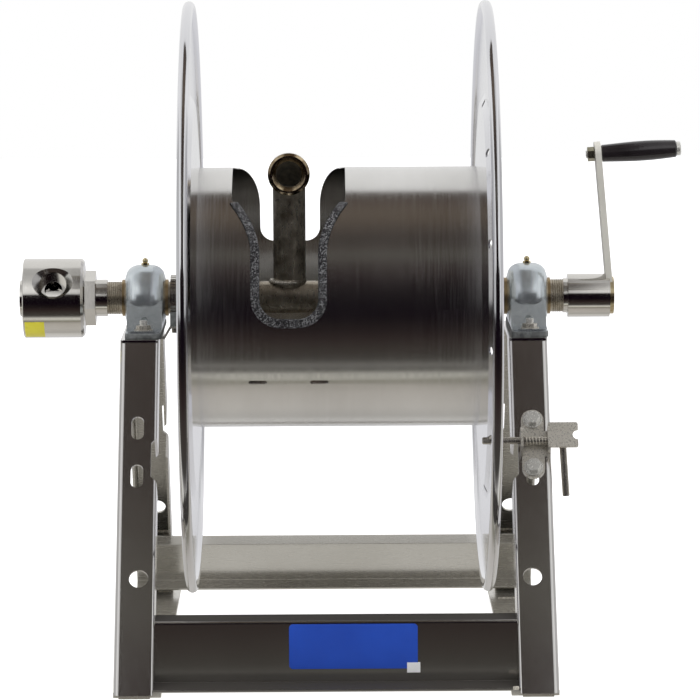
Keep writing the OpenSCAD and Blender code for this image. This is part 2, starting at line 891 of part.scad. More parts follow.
// The slot as seen from the front or the back: a round-cornered foot, straight sides
// and a flare that opens to the full width; grow widens it on all sides
module slot_outline(w, low, straight_z, flare_z, r, grow, rounded = false) {
    steps = 12;
    half = w / 2 + grow;
    top = drum_r + trim_proud + 2 * overcut;
    rise = flare_z - straight_z;
    right = [for (i = [0:steps])
        [flare(i / steps, w, rounded) + grow, straight_z + rise * flare_rise(i / steps, rounded)]];
    left = [for (i = [steps:-1:0])
        [-flare(i / steps, w, rounded) - grow, straight_z + rise * flare_rise(i / steps, rounded)]];
    polygon(concat(
        [[-half, low - grow + r], [-half + r, low - grow], [half - r, low - grow], [half, low - grow + r]],
        right,
        [[slot_top_w / 2 + grow, top], [-slot_top_w / 2 - grow, top]],
        left
    ));
    for (k = [-1, 1]) translate([k * (half - r), low - grow + r]) circle(r = r, $fn = round_fn);
}

slot_corner_r = 25;
slot_back_r = 15;
slot_straight_z = 56;
slot_flare_z = 107;
slot_back_straight_z = 87;

module front_slot(grow = 0) {
    slot_outline(slot_w, slot_front_z, slot_straight_z, slot_flare_z, slot_corner_r + grow, grow);
}

module back_slot() {
    slot_outline(slot_back_w, slot_back_z, slot_back_straight_z, drum_r - 0.5, slot_back_r, 0, true);
}

// The rounded slot is cut straight through from the front and from the back
module slot_cut() {
    translate([-slot_offset, 0, 0]) {
        rotate([90, 0, 0]) linear_extrude(drum_d) front_slot();
        translate([0, drum_d, 0]) rotate([90, 0, 0]) linear_extrude(drum_d + overcut) back_slot();
    }
}

// The drum's wall, standing off by a clearance inside and outside
module drum_shell(proud = 0) {
    translate([-drum_len / 2, 0, 0])
        along_x() tube(drum_d + 2 * proud, drum_d - 2 * drum_wall - 2 * proud, drum_len);
}

module drain_slots() {
    drain_angle = 34;
    for (x = [-82.5, -20.5])
        translate([x, 0, 0]) rotate([drain_angle, 0, 0]) rotate([90, 0, 0])
            translate([0, 0, drum_r - 10]) linear_extrude(20) rotate(90) stadium(18.5, 4.6);
}

module drum() {
    color("#5c5a58")
        at_reel() difference() {
            drum_shell();
            slot_cut();
            drain_slots();
        }
}

module slot_edge_trim() {
    color("#3b3c3f")
        at_reel() difference() {
            intersection() {
                drum_shell(trim_proud);
                translate([-slot_offset, 0, 0]) rotate([90, 0, 0]) linear_extrude(drum_d)
                    difference() {
                        front_slot(trim_w);
                        front_slot(-trim_w);
                        // The trim ends where the slot is at its full width
                        translate([-slot_top_w, slot_flare_z - 2]) square([2 * slot_top_w, drum_d]);
                    }
            }
            difference() {
                drum_shell();
                slot_cut();
            }
        }
}

// The pressed sheet with its step, and the bead round a wired edge
module disc_section() {
    rim = disc_d / 2 - bead_r;
    bore_r = pipe_d / 2 + hub_bore_gap;
    flat_r = drum_r + 2;
    step_x = disc_x + cone_depth;
    polygon([
        [bore_r, disc_x], [flat_r, disc_x], [step_r - step_slope, step_x],
        [step_r, annulus_x], [rim, annulus_x],
        [rim, annulus_x + disc_wall], [step_r - 0.5, annulus_x + disc_wall],
        [step_r - step_slope - 0.4, step_x + disc_wall],
        [flat_r, disc_x + disc_wall], [bore_r, disc_x + disc_wall]
    ]);
    translate([rim, annulus_x + disc_wall / 2]) circle(d = bead_d, $fn = round_fn);
}

module disc_blank() {
    difference() {
        along_x() rotate_extrude($fn = fine) disc_section();
        for (i = [0:hub_bolts - 1])
            rotate([i * 360 / hub_bolts, 0, 0])
                translate([disc_x - overcut, 0, hub_bolt_r])
                    along_x() cylinder(d = bolt_hole_d, h = disc_wall + 2 * overcut, $fn = round_fn);
    }
}

module disc_left() {
    color("#c9c8c6") reel_side(LEFT) disc_blank();
}

module disc_right() {
    color("#c9c8c6")
        reel_side(RIGHT)
            difference() {
                disc_blank();
                // Lock holes, of which one faces the pin
                for (i = [0:lock_holes - 1])
                    rotate([lock_hole_angle() + i * 360 / lock_holes, 0, 0])
                        translate([disc_x, -lock_r, 0])
                            along_x() cylinder(d = lock_hole_d, h = step_depth + 2 * disc_wall, $fn = round_fn);
            }
}

module hub() {
    bore = pipe_d + 2 * hub_bore_gap;
    x0 = disc_x + disc_wall;
    translate([x0, 0, 0]) along_x() difference() {
        union() {
            cylinder(d = hub_flange_d, h = hub_flange_t, $fn = fine);
            cylinder(d = hub_collar_d, h = hub_flange_t + hub_collar_len, $fn = fine);
        }
        translate([0, 0, -overcut])
            cylinder(d = bore, h = hub_flange_t + hub_collar_len + 2 * overcut, $fn = fine);
        for (i = [0:hub_bolts - 1])
            rotate(i * 360 / hub_bolts)
                translate([hub_bolt_r, 0, -overcut])
                    cylinder(d = bolt_hole_d, h = hub_flange_t + 2 * overcut, $fn = round_fn);
    }
}

module hub_left() {
    color("#8c8c88") reel_side(LEFT) hub();
}

module hub_right() {
    color("#8c8c88") reel_side(RIGHT) hub();
}

// Each place of a hub bolt, with local Z pointing out of the reel
module hub_bolt_places() {
    for (side = [LEFT, RIGHT], i = [0:hub_bolts - 1])
        reel_side(side) rotate([i * 360 / hub_bolts, 0, 0])
            translate([disc_x, 0, hub_bolt_r]) along_x() children();
}

module hub_bolt_set() {
    color("#9a9a94") hub_bolt_places() hex_bolt(disc_wall + hub_flange_t + washer_t + nut_t + 2);
}

module hub_nut_set() {
    color("#9a9a94")
        hub_bolt_places() translate([0, 0, disc_wall + hub_flange_t]) nut_and_washer(nut_t, washer_t);
}

// ---- Swivel inlet

module axle_collar() {
    color("#77705a")
        translate([-collar_x, 0, axle_h])
            along_x() tube(collar_d, pipe_d + 2 * hub_bore_gap, collar_len);
}

module swivel_stem() {
    color("#a3a29c")
        translate([0, 0, axle_h])
            difference() {
                union() {
                    translate([-stem_end_x, 0, 0])
                        along_x() cylinder(d = stem_d, h = stem_end_x - collar_x, $fn = fine);
                    translate([-collar_x - stem_hex_t, 0, 0]) rotate([-13, 0, 0])
                        along_x() hexagon(stem_hex, stem_hex_t);
                }
                translate([-stem_end_x - overcut, 0, 0])
                    along_x() cylinder(d = stem_d - 2 * stem_wall, h = stem_end_x, $fn = fine);
                for (a = [0, 90])
                    rotate([a + port_angle, 0, 0])
                        translate([-chamber_x, 0, -stem_d]) cylinder(d = 12, h = 2 * stem_d, $fn = round_fn);
            }
}

module port_place() {
    translate([-chamber_x, 0, axle_h]) rotate([90 - port_angle, 0, 0]) children();
}

module swivel_body() {
    chamfer = 2.6;
    bore_x = swivel_x + swivel_len - swivel_end_wall;
    color("#b5b2aa")
        difference() {
            translate([-swivel_x - swivel_len, 0, axle_h])
                along_x() rotate_extrude($fn = fine)
                    polygon([
                        [0, 0], [swivel_d / 2 - 1, 0], [swivel_d / 2, 1],
                        [swivel_d / 2, swivel_len - chamfer],
                        [swivel_d / 2 - chamfer, swivel_len], [0, swivel_len]
                    ]);
            translate([-bore_x, 0, axle_h])
                along_x() cylinder(d = seal_d, h = swivel_len, $fn = fine);
            port_place() rotate_extrude($fn = fine)
                polygon([
                    [0, 0], [port_inner_d / 2, 0], [port_inner_d / 2, port_floor],
                    [port_d / 2, port_floor], [port_d / 2, swivel_d / 2 - port_chamfer],
                    [port_d / 2 + 2 * port_chamfer, swivel_d / 2 + port_chamfer],
                    [0, swivel_d / 2 + port_chamfer]
                ]);
        }
}

module swivel_cap() {
    color("#b5b2aa")
        translate([-swivel_x - swivel_len - swivel_cap_t, 0, axle_h])
            along_x() cylinder(d = 37.4, h = swivel_cap_t, $fn = fine);
}

module swivel_seals() {
    bore_x = swivel_x + swivel_len - swivel_end_wall;
    inner = stem_d + 2 * run_gap;
    color("#e8e4d8")
        translate([0, 0, axle_h]) {
            translate([-bore_x, 0, 0]) along_x() tube(seal_d, inner, seal_len);
            translate([-swivel_x - 2 - seal_len, 0, 0]) along_x() tube(seal_d, inner, seal_len);
        }
}

module blank_sticker() {
    color("#e6cf2e")
        translate([0, 0, axle_h])
            intersection() {
                translate([-swivel_x - swivel_len, 0, 0])
                    along_x() tube(swivel_d + 0.4, swivel_d, swivel_len);
                translate([-swivel_x - swivel_len + 2, -swivel_d, -38.5]) cube([20, swivel_d, 17.5]);
            }
}

// ---- Crank

module crank_hub() {
    color("#c2c1bd")
        translate([crank_hub_x, 0, axle_h]) along_x() {
            tube(crank_hub_d, pipe_d + 2 * hub_bore_gap, crank_hub_len);
            translate([0, 0, -4.6]) tube(pipe_d + 2.4, pipe_d + 2 * hub_bore_gap, 4.6);
        }
}

module end_plate_block() {
    translate([crank_end_x, 0, axle_h])
        along_x() cylinder(d = end_plate_d, h = end_plate_t, $fn = fine);
}

module crank_end_plate() {
    color("#a08a50") end_plate_block();
}

// The arm's place: local Z is up the arm, and the origin is where the arm's middle
// crosses the axle's line
module arm_place() {
    translate([arm_foot_x, 0, axle_h]) rotate([0, -arm_lean, 0]) children();
}

// The handle's place: local X is along the handle, and the origin is inside the arm
module handle_place() {
    arm_place() translate([0, 0, crank_throw]) rotate([0, arm_lean - grip_tilt, 0]) children();
}

module crank_arm() {
    foot = end_plate_d / 2 - 6;
    color("#d6d3cb")
        difference() {
            arm_place()
                translate([arm_t / 2, 0, 0]) rotate([0, -90, 0]) linear_extrude(arm_t) {
                    translate([foot, -arm_w / 2]) square([crank_throw - foot, arm_w]);
                    translate([crank_throw, 0]) circle(d = arm_w, $fn = round_fn);
                }
            handle_place() translate([-arm_t, 0, 0])
                along_x() cylinder(d = spindle_d + 0.2, h = 2 * arm_t, $fn = round_fn);
            translate([crank_hub_x, 0, axle_h])
                along_x() cylinder(d = crank_hub_d, h = crank_hub_len, $fn = fine);
            end_plate_block();
        }
}

module handle_bolt() {
    len = arm_t / 2 + arm_top_gap + grip_len + arm_top_gap;
    color("#8b8f90")
        handle_place() {
            translate([-arm_t / 2 - 9, 0, 0])
                along_x() cylinder(d = spindle_d, h = len + arm_t / 2 + 9, $fn = round_fn);
            translate([len, 0, 0])
                along_x() rotate_extrude($fn = round_fn)
                    polygon([
                        [0, 0], [spindle_head_d / 2, 0], [spindle_head_d / 2, spindle_head_t - 1],
                        [spindle_head_d / 2 - 1, spindle_head_t], [0, spindle_head_t]
                    ]);
        }
}

module handle_nut() {
    color("#8a8a84")
        handle_place() translate([-arm_t / 2 - arm_top_gap - 7, 0, 0])
            along_x() difference() {
                hexagon(13, 7);
                translate([0, 0, -overcut]) cylinder(d = spindle_d + 0.1, h = 10, $fn = round_fn);
            }
}

// Grip radius at a share u of its length: widest a little past the middle
function grip_r(u) = grip_end_d / 2 + (grip_d - grip_end_d) / 2 * sin(180 * pow(u, 1.15));

module grip() {
    steps = 16;
    bore = spindle_d / 2 + fit_gap / 2;
    edge = 1;
    color("#1d1d1f")
        handle_place() translate([arm_t / 2 + arm_top_gap, 0, 0])
            along_x() rotate_extrude($fn = fine)
                polygon(concat(
                    [[bore, 0], [grip_end_d / 2 - edge, 0]],
                    [for (i = [0:steps]) [grip_r(i / steps), edge + (grip_len - 2 * edge) * i / steps]],
                    [[grip_end_d / 2 - edge, grip_len], [bore, grip_len]]
                ));
}

// ---- Pin lock on the right front leg

// The lock's place on the leg's face: local Z is off the face, local Y is up the leg
module lock_face() {
    translate([0, leg_y(plate_z - lock_s * cos(leg_angle)), plate_z - lock_s * cos(leg_angle)])
        rotate([90 - leg_angle, 0, 0])
            children();
}

module bracket_bolt_places() {
    for (k = [-1, 1]) translate([bracket_x, k * bracket_pitch / 2, 0]) children();
}

module pin_hole() {
    translate([0, 0, lock_off]) along_x() cylinder(d = pin_hole_d, h = 2 * side_x, $fn = round_fn);
}

module ear() {
    rise = ear_top - ear_half / 2;
    rotate([90, 0, 90]) linear_extrude(ear_t) {
        translate([-ear_half, 0]) square([2 * ear_half, rise]);
        translate([-ear_half / 2, 0]) square([ear_half, ear_top]);
        for (k = [-1, 1]) translate([k * ear_half / 2, rise]) circle(d = ear_half, $fn = round_fn);
    }
}

module lock_bracket() {
    left = ear_mid_x - ear_gap / 2 - ear_t;
    right = ear_mid_x + ear_gap / 2;
    notch_d = 11;
    wing_tip_x = wing_end_x + 0.8;
    color("#a9a79e")
        lock_face() difference() {
            union() {
                translate([bracket_x, 0, 0])
                    linear_extrude(bracket_t) stadium(bracket_pitch + bracket_w, bracket_w);
                translate([left, -ear_half, 0]) cube([right + ear_t - left, 2 * ear_half, bracket_t]);
                translate([left, 0, 0]) ear();
                translate([right, 0, 0]) ear();
                // The wing that keeps the pull handle's parking notch
                translate([(right + wing_tip_x) / 2, wing_shift, ear_top - bracket_t])
                    linear_extrude(bracket_t) round_box_2d(wing_tip_x - right, wing_len, 2.2);
            }
            pin_hole();
            bracket_bolt_places()
                translate([0, 0, -overcut]) cylinder(d = bolt_hole_d, h = bracket_t + 2 * overcut, $fn = round_fn);
            translate([wing_tip_x, wing_shift, ear_top - bracket_t - overcut])
                cylinder(d = notch_d, h = bracket_t + 2 * overcut, $fn = round_fn);
        }
}

module bracket_bolts() {
    color("#b9b9b4")
        lock_face() bracket_bolt_places()
            translate([0, 0, bracket_t + washer_t]) mirror([0, 0, 1])
                hex_bolt(bracket_t + washer_t + leg_wall + washer_t + nut_t + 2);
}

module bracket_washers() {
    color("#a9a9a4")
        lock_face() bracket_bolt_places()
            translate([0, 0, bracket_t]) tube(washer_d, bolt_d + 0.4, washer_t);
}

module bracket_nuts() {
    color("#a9a9a4")
        lock_face() bracket_bolt_places() translate([0, 0, -leg_wall]) mirror([0, 0, 1]) nut_and_washer(nut_t, washer_t);
}

// The pin's place: local X along its axis
module pin_place() {
    translate([0, -lock_y, lock_z]) children();
}

module lock_pin() {
    straight = handle_x - lock_elbow_r - lock_tip_x;
    tip = 1;
    color("#57534a")
        pin_place() {
            translate([lock_tip_x, 0, 0]) along_x() {
                cylinder(d1 = lock_pin_d - 2 * tip, d2 = lock_pin_d, h = tip, $fn = round_fn);
                translate([0, 0, tip]) cylinder(d = lock_pin_d, h = straight - tip, $fn = round_fn);
            }
            translate([handle_x - lock_elbow_r, 0, -lock_elbow_r]) rotate([90, 0, 0])
                rotate_extrude(angle = 90, $fn = round_fn)
                    translate([lock_elbow_r, 0]) circle(d = lock_pin_d, $fn = round_fn);
            // The handle leans outwards from the bend
            translate([handle_x, 0, -lock_elbow_r]) {
                sphere(d = lock_pin_d + 0.1, $fn = round_fn);
                rotate([0, 180 - handle_lean, 0])
                    cylinder(d = lock_pin_d, h = handle_drop - lock_elbow_r, $fn = round_fn);
            }
        }
}

module pin_clip() {
    color("#8a8a84")
        pin_place() translate([clip_x0, 0, 0])
            along_x() tube(lock_pin_d + 4, lock_pin_d, pin_clip_t);
}

module spring_washer() {
    color("#9a9a94")
        pin_place() translate([spring_x0 - spring_washer_t, 0, 0])
            along_x() tube(lock_pin_d + 3.4, lock_pin_d + 0.2, spring_washer_t);
}

// A round wire wound round the local Z axis
module coil(mid_d, wire, length, turns) {
    per_turn = 20;
    sides = 8;
    rings = per_turn * turns;
    pitch = (length - wire) / turns;
    points = [for (i = [0:rings], j = [0:sides - 1])
        let (a = 360 * i / per_turn, b = 360 * j / sides, r = mid_d / 2 + wire / 2 * cos(b))
        [r * cos(a), r * sin(a), wire / 2 + pitch * i / per_turn + wire / 2 * sin(b)]];
    skin = [for (i = [0:rings - 1], j = [0:sides - 1])
        [i * sides + j, (i + 1) * sides + j,
         (i + 1) * sides + (j + 1) % sides, i * sides + (j + 1) % sides]];
    caps = [[for (j = [0:sides - 1]) j], [for (j = [sides - 1:-1:0]) rings * sides + j]];
    polyhedron(points, concat(skin, caps));
}

module lock_spring() {
    color("#8c8579")
        pin_place() translate([spring_x0, 0, 0])
            along_x() coil(spring_mid_d, spring_wire, spring_x1 - spring_x0, spring_turns);
}

front_leg_left();
front_leg_right();
rear_leg_left();
rear_leg_right();
top_plate_left();
top_plate_right();
base_rail_left();
base_rail_right();
leg_shoes();
front_cross_member();
rear_cross_member();
blank_plate();
blank_tag();
bearing_pad_left();
bearing_pad_right();
bearing_housing_left();
bearing_housing_right();
bushing_left();
bushing_right();
grease_nipples();
bearing_bolts();
bearing_nuts();
brake_strap();
brake_block();
brake_bolt();
lock_bracket();
bracket_bolts();
bracket_washers();
bracket_nuts();
axle_pipe();
flow_plug();
riser_pipe();
outlet_elbow();
drum();
slot_edge_trim();
disc_left();
disc_right();
hub_left();
hub_right();
hub_bolt_set();
hub_nut_set();
brake_ring();
axle_collar();
swivel_stem();
crank_hub();
crank_end_plate();
crank_arm();
handle_bolt();
handle_nut();
swivel_body();
swivel_cap();
swivel_seals();
blank_sticker();
grip();
spring_washer();
lock_spring();
lock_pin();
pin_clip();
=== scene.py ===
import json
import math

import bpy
from mathutils import Matrix, Vector, noise
from mathutils.bvhtree import BVHTree

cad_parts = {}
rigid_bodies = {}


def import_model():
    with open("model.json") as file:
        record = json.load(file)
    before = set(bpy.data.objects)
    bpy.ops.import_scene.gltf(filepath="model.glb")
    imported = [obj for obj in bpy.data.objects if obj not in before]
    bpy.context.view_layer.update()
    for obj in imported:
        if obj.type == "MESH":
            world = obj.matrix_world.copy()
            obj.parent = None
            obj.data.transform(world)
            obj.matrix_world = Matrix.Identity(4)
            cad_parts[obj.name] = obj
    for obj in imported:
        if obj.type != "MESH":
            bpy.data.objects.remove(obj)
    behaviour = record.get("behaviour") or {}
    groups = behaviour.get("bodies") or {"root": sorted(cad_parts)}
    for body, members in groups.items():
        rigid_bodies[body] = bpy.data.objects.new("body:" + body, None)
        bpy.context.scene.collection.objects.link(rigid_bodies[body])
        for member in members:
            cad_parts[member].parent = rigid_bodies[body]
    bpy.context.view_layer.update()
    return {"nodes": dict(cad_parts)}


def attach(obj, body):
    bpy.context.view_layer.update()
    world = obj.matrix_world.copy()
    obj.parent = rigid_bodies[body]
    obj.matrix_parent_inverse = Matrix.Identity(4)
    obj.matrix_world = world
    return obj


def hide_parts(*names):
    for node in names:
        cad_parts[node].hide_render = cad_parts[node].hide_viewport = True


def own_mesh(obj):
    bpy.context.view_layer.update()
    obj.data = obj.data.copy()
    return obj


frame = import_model()
nodes = frame["nodes"]
print("frame loaded:", len(nodes), "CAD nodes")

mm = 0.001
sizes = {
    "axleHeight": 0.359,
    "pipeRadius": 0.0167,
}
axle = Vector((0, 0, sizes["axleHeight"]))

# ---- camera, from the photograph's own points

cameraLook = {
    "target": (0.016942, 0.0, 0.303348),
    "distance": 4.261101,
    "height": 6.772,
    "turn": 0.41,
    "roll": -0.279,
    "lens": 211.7285,
    "sensor": 36.0,
    "frame": (700, 700),
}

imagePoints = {
    "discTopLeft": (189.6, 2.0),
    "swivelLeftEnd": (20.5, 303.0),
    "gripEnd": (679.0, 149.5),
    "footBottomLeft": (124.0, 698.5),
    "outletMouth": (291.0, 174.5),
    "armTop": (597.0, 141.5),
    "pinTip": (482.5, 440.5),
    "pullHandleLow": (564.0, 496.0),
    "parkNotch": (578.7, 435.2),
    "nippleLeft": (146.0, 263.5),
    "boltUpper": (533.0, 419.0),
    "trimBottom": (287.5, 328.0),
    "plateMiddle": (353.5, 646.5),
    "swivelPort": (53.0, 285.0),
    "riserWeld": (287.0, 281.0),
    "rearWeldLeft": (164.5, 531.5),
    "rearWeldRight": (506.0, 529.5),
    "lowWeldLeft": (165.5, 591.5),
    "lowWeldRight": (506.5, 598.0),
    "frontWeldRight": (516.5, 688.0),
}


def makeCamera():
    tilt = math.radians(cameraLook["height"])
    turn = math.radians(cameraLook["turn"])
    roll = math.radians(cameraLook["roll"])
    ahead = Vector((math.sin(turn) * math.cos(tilt), math.cos(turn) * math.cos(tilt), -math.sin(tilt)))
    right = Vector((math.cos(turn), -math.sin(turn), 0))
    up = right.cross(ahead)
    rolledRight = right * math.cos(roll) + up * math.sin(roll)
    rolledUp = up * math.cos(roll) - right * math.sin(roll)
    place = Vector(cameraLook["target"]) - ahead * cameraLook["distance"]
    data = bpy.data.cameras.new("photoCamera")
    data.lens = cameraLook["lens"]
    data.sensor_width = cameraLook["sensor"]
    data.sensor_fit = "AUTO"
    data.clip_end = 50
    camera = bpy.data.objects.new("photoCamera", data)
    turnMatrix = Matrix((rolledRight, rolledUp, -ahead)).transposed()
    camera.matrix_world = Matrix.Translation(place) @ turnMatrix.to_4x4()
    bpy.context.scene.collection.objects.link(camera)
    bpy.context.scene.camera = camera
    return camera


camera = makeCamera()


def rayThrough(point):
    width, height = cameraLook["frame"]
    longSide = max(width, height)
    shiftX, shiftY = camera.data.shift_x, camera.data.shift_y
    local = Vector((
        point[0] - width / 2 + shiftX * longSide,
        height / 2 - point[1] + shiftY * longSide,
        -longSide * camera.data.lens / camera.data.sensor_width,
    ))
    turned = camera.matrix_world.to_3x3() @ local
    return camera.matrix_world.translation.copy(), turned.normalized()


def toImage(place):
    width, height = cameraLook["frame"]
    local = camera.matrix_world.inverted() @ Vector(place)
    scale = max(width, height) * camera.data.lens / camera.data.sensor_width / -local.z
    return width / 2 + local.x * scale, height / 2 - local.y * scale


def treeOf(*carriers):
    verts, faces = [], []
    for carrier in carriers:
        start = len(verts)
        verts += [carrier.matrix_world @ v.co for v in carrier.data.vertices]
        faces += [[start + i for i in p.vertices] for p in carrier.data.polygons]
    return BVHTree.FromPolygons(verts, faces)


def placeOn(pointName, *carriers):
    # where the photograph's point meets the carriers, and which way their surface faces
    start, direction = rayThrough(imagePoints[pointName])
    tree = treeOf(*carriers)
    hit, normal, _, _ = tree.ray_cast(start, direction)
    if hit is None:
        step = min((start + direction * (3.6 + i * 0.01) for i in range(130)),
                   key=lambda p: tree.find_nearest(p)[3])
        hit, normal, _, _ = tree.find_nearest(step)
    return hit, normal


# ---- stage: floor, world, lamps

stageLook = {
    "floorSize": 14.0,
    "floorColour": (0.86, 0.86, 0.86, 1),
    "floorGlow": 0.85,
    "worldDiffuse": 0.62,
    "cardRadius": 1.0,
    "cardLow": -20.0,
    "cardStep": 16.0,
    "cardTop": 106.0,
    "cardHalfWidth": 0.62,
    "cardHighHalfWidth": 0.292,
    # the degrees over which the card also covers what the front legs mirror
    "cardLegBand": (32.0, 74.0),
    "cardLegHalfWidth": 0.335,
    "cardRows": 63,
    # the degrees that the colours of the card run over, and where they start
    "cardGlowSpan": 150.0,
    "cardGlowStart": -30.0,
    # painted reflection: the colours that reflections see of the floor, by depth, dark in front and banded
    # where the metal mirrors its own parts: (y, colour)
    "floorPaintedReflection": [
        (-1.0, (0.012, 0.008, 0.009)), (-0.69, (0.030, 0.020, 0.019)), (-0.47, (0.052, 0.044, 0.039)),
        (-0.36, (0.056, 0.053, 0.047)), (-0.325, (0.20, 0.19, 0.18)), (-0.285, (0.70, 0.69, 0.64)),
        (-0.24, (0.74, 0.73, 0.67)), (-0.205, (0.22, 0.21, 0.17)), (-0.185, (0.24, 0.23, 0.19)),
        (-0.16, (0.41, 0.39, 0.35)), (-0.127, (0.50, 0.475, 0.44)), (0.0, (0.55, 0.53, 0.50)),
        (0.12, (0.46, 0.45, 0.43)), (0.17, (0.62, 0.61, 0.59)), (0.30, (0.68, 0.67, 0.66)),
        (0.6, (0.66, 0.66, 0.68)), (1.0, (0.72, 0.72, 0.74)),
    ],
}


def nodeTree(owner):
    owner.use_nodes = True
    owner.node_tree.nodes.clear()
    return owner.node_tree


def addNode(tree, kind, **settings):
    made = tree.nodes.new(kind)
    for name, value in settings.items():
        if hasattr(made, name):
            setattr(made, name, value)
        else:
            made.inputs[name].default_value = value
    return made


def maths(tree, operation, first, second=None, clamp=False):
    made = tree.nodes.new("ShaderNodeMath")
    made.operation = operation
    made.use_clamp = clamp
    for socket, value in zip(made.inputs, (first, second)):
        if value is None:
            continue
        if isinstance(value, (int, float)):
            socket.default_value = value
        else:
            tree.links.new(value, socket)
    return made.outputs[0]


def ramp(tree, factor, stops, interpolation="LINEAR"):
    made = tree.nodes.new("ShaderNodeValToRGB")
    made.color_ramp.interpolation = interpolation
    elements = made.color_ramp.elements
    while len(elements) > 1:
        elements.remove(elements[-1])
    for i, (position, colour) in enumerate(stops):
        if not isinstance(colour, tuple):
            colour = (colour, colour, colour)
        element = elements[0] if i == 0 else elements.new(position)
        element.position = position
        element.color = (*colour, 1)
    tree.links.new(factor, made.inputs[0])
    return made.outputs[0]


def mixColour(tree, factor, first, second, blend="MIX"):
    made = tree.nodes.new("ShaderNodeMix")
    made.data_type = "RGBA"
    made.blend_type = blend
    for socket, value in ((made.inputs[0], factor), (made.inputs[6], first), (made.inputs[7], second)):
        if hasattr(value, "is_linked"):
            tree.links.new(value, socket)
        elif isinstance(value, (int, float)):
            socket.default_value = value if socket is made.inputs[0] else (value, value, value, 1)
        else:
            socket.default_value = (*value[:3], 1)
    return made.outputs[2]


def makeWorld():
    world = bpy.data.worlds.new("studio")
    bpy.context.scene.world = world
    tree = nodeTree(world)
    coordinate = addNode(tree, "ShaderNodeTexCoord")
    split = addNode(tree, "ShaderNodeSeparateXYZ")
    tree.links.new(coordinate.outputs["Generated"], split.inputs[0])
    # turn round the X axis: 0 is the front, a quarter is straight up, a half is the back
    front = maths(tree, "MULTIPLY", split.outputs[1], -1.0)
    angle = maths(tree, "ARCTAN2", split.outputs[2], front)
    share = maths(tree, "ADD", maths(tree, "DIVIDE", angle, 2 * math.pi), 0.5)
    degrees = lambda d: d / 360 + 0.5
    strip = ramp(tree, share, [
        (degrees(-180), 0.80), (degrees(-62), 0.55), (degrees(-56), 0.05), (degrees(-30), 0.025),
        (degrees(-8), 0.02), (degrees(12), 0.10), (degrees(20), 0.85), (degrees(36), 1.0),
        (degrees(58), 0.62), (degrees(80), 0.48), (degrees(100), 0.52), (degrees(108), 0.80),
        (degrees(150), 0.84), (degrees(180), 0.86),
    ])
    sideways = maths(tree, "ABSOLUTE", split.outputs[0])
    side = ramp(tree, sideways, [(0.30, 0.0), (0.52, 1.0)])
    sideLight = ramp(tree, sideways, [(0.5, 0.78), (0.72, 0.9), (0.86, 0.45), (1.0, 0.6)])
    glossy = mixColour(tree, side, strip, sideLight)
    path = addNode(tree, "ShaderNodeLightPath")
    seen = addNode(tree, "ShaderNodeBackground", Strength=1.0)
    seen.inputs["Color"].default_value = (1, 1, 1, 1)
    mirrored = addNode(tree, "ShaderNodeBackground", Strength=1.0)
    tree.links.new(glossy, mirrored.inputs["Color"])
    plain = addNode(tree, "ShaderNodeBackground", Strength=stageLook["worldDiffuse"])
    plain.inputs["Color"].default_value = (1, 1, 1, 1)
    first = addNode(tree, "ShaderNodeMixShader")
    second = addNode(tree, "ShaderNodeMixShader")
    output = addNode(tree, "ShaderNodeOutputWorld")
    reflected = maths(tree, "MAXIMUM", path.outputs["Is Glossy Ray"], path.outputs["Is Transmission Ray"])
    tree.links.new(reflected, first.inputs[0])
    tree.links.new(plain.outputs[0], first.inputs[1])
    tree.links.new(mirrored.outputs[0], first.inputs[2])
    tree.links.new(path.outputs["Is Camera Ray"], second.inputs[0])
    tree.links.new(first.outputs[0], second.inputs[1])
    tree.links.new(seen.outputs[0], second.inputs[2])
    tree.links.new(second.outputs[0], output.inputs[0])


def makeFloor():
    bpy.ops.object.select_all(action="DESELECT")
    bpy.ops.mesh.primitive_plane_add(size=stageLook["floorSize"], location=(0, 0, -0.0004))
    floor = bpy.context.object
    floor.name = "studioFloor"
    material = bpy.data.materials.new("paleFloor")
    tree = nodeTree(material)
    coordinate = addNode(tree, "ShaderNodeTexCoord")
    split = addNode(tree, "ShaderNodeSeparateXYZ")
    tree.links.new(coordinate.outputs["Object"], split.inputs[0])
    stops = stageLook["floorPaintedReflection"]
    first, last = stops[0][0], stops[-1][0]
    share = maths(tree, "DIVIDE", maths(tree, "SUBTRACT", split.outputs[1], first), last - first, clamp=True)
    paintedReflectionColour = ramp(tree, share, [((y - first) / (last - first), colour) for y, colour in stops])
    path = addNode(tree, "ShaderNodeLightPath")
    plain = addNode(tree, "ShaderNodeBsdfDiffuse")
    plain.inputs["Color"].default_value = stageLook["floorColour"]
    shine = addNode(tree, "ShaderNodeEmission", Strength=stageLook["floorGlow"])
    shine.inputs["Color"].default_value = (1, 1, 1, 1)
    # the floor's colour for reflections is painted reflection, banded by depth
    away = addNode(tree, "ShaderNodeEmission", Strength=1.0)
    tree.links.new(paintedReflectionColour, away.inputs["Color"])
    both = addNode(tree, "ShaderNodeAddShader")
    tree.links.new(plain.outputs[0], both.inputs[0])
    tree.links.new(shine.outputs[0], both.inputs[1])
    first = addNode(tree, "ShaderNodeMixShader")
    second = addNode(tree, "ShaderNodeMixShader")
    output = addNode(tree, "ShaderNodeOutputMaterial")
    seen = maths(tree, "MAXIMUM", path.outputs["Is Camera Ray"], path.outputs["Is Transmission Ray"])
    tree.links.new(seen, first.inputs[0])
    tree.links.new(plain.outputs[0], first.inputs[1])
    tree.links.new(both.outputs[0], first.inputs[2])
    tree.links.new(path.outputs["Is Glossy Ray"], second.inputs[0])
    tree.links.new(first.outputs[0], second.inputs[1])
    tree.links.new(away.outputs[0], second.inputs[2])
    tree.links.new(second.outputs[0], output.inputs[0])
    floor.data.materials.append(material)


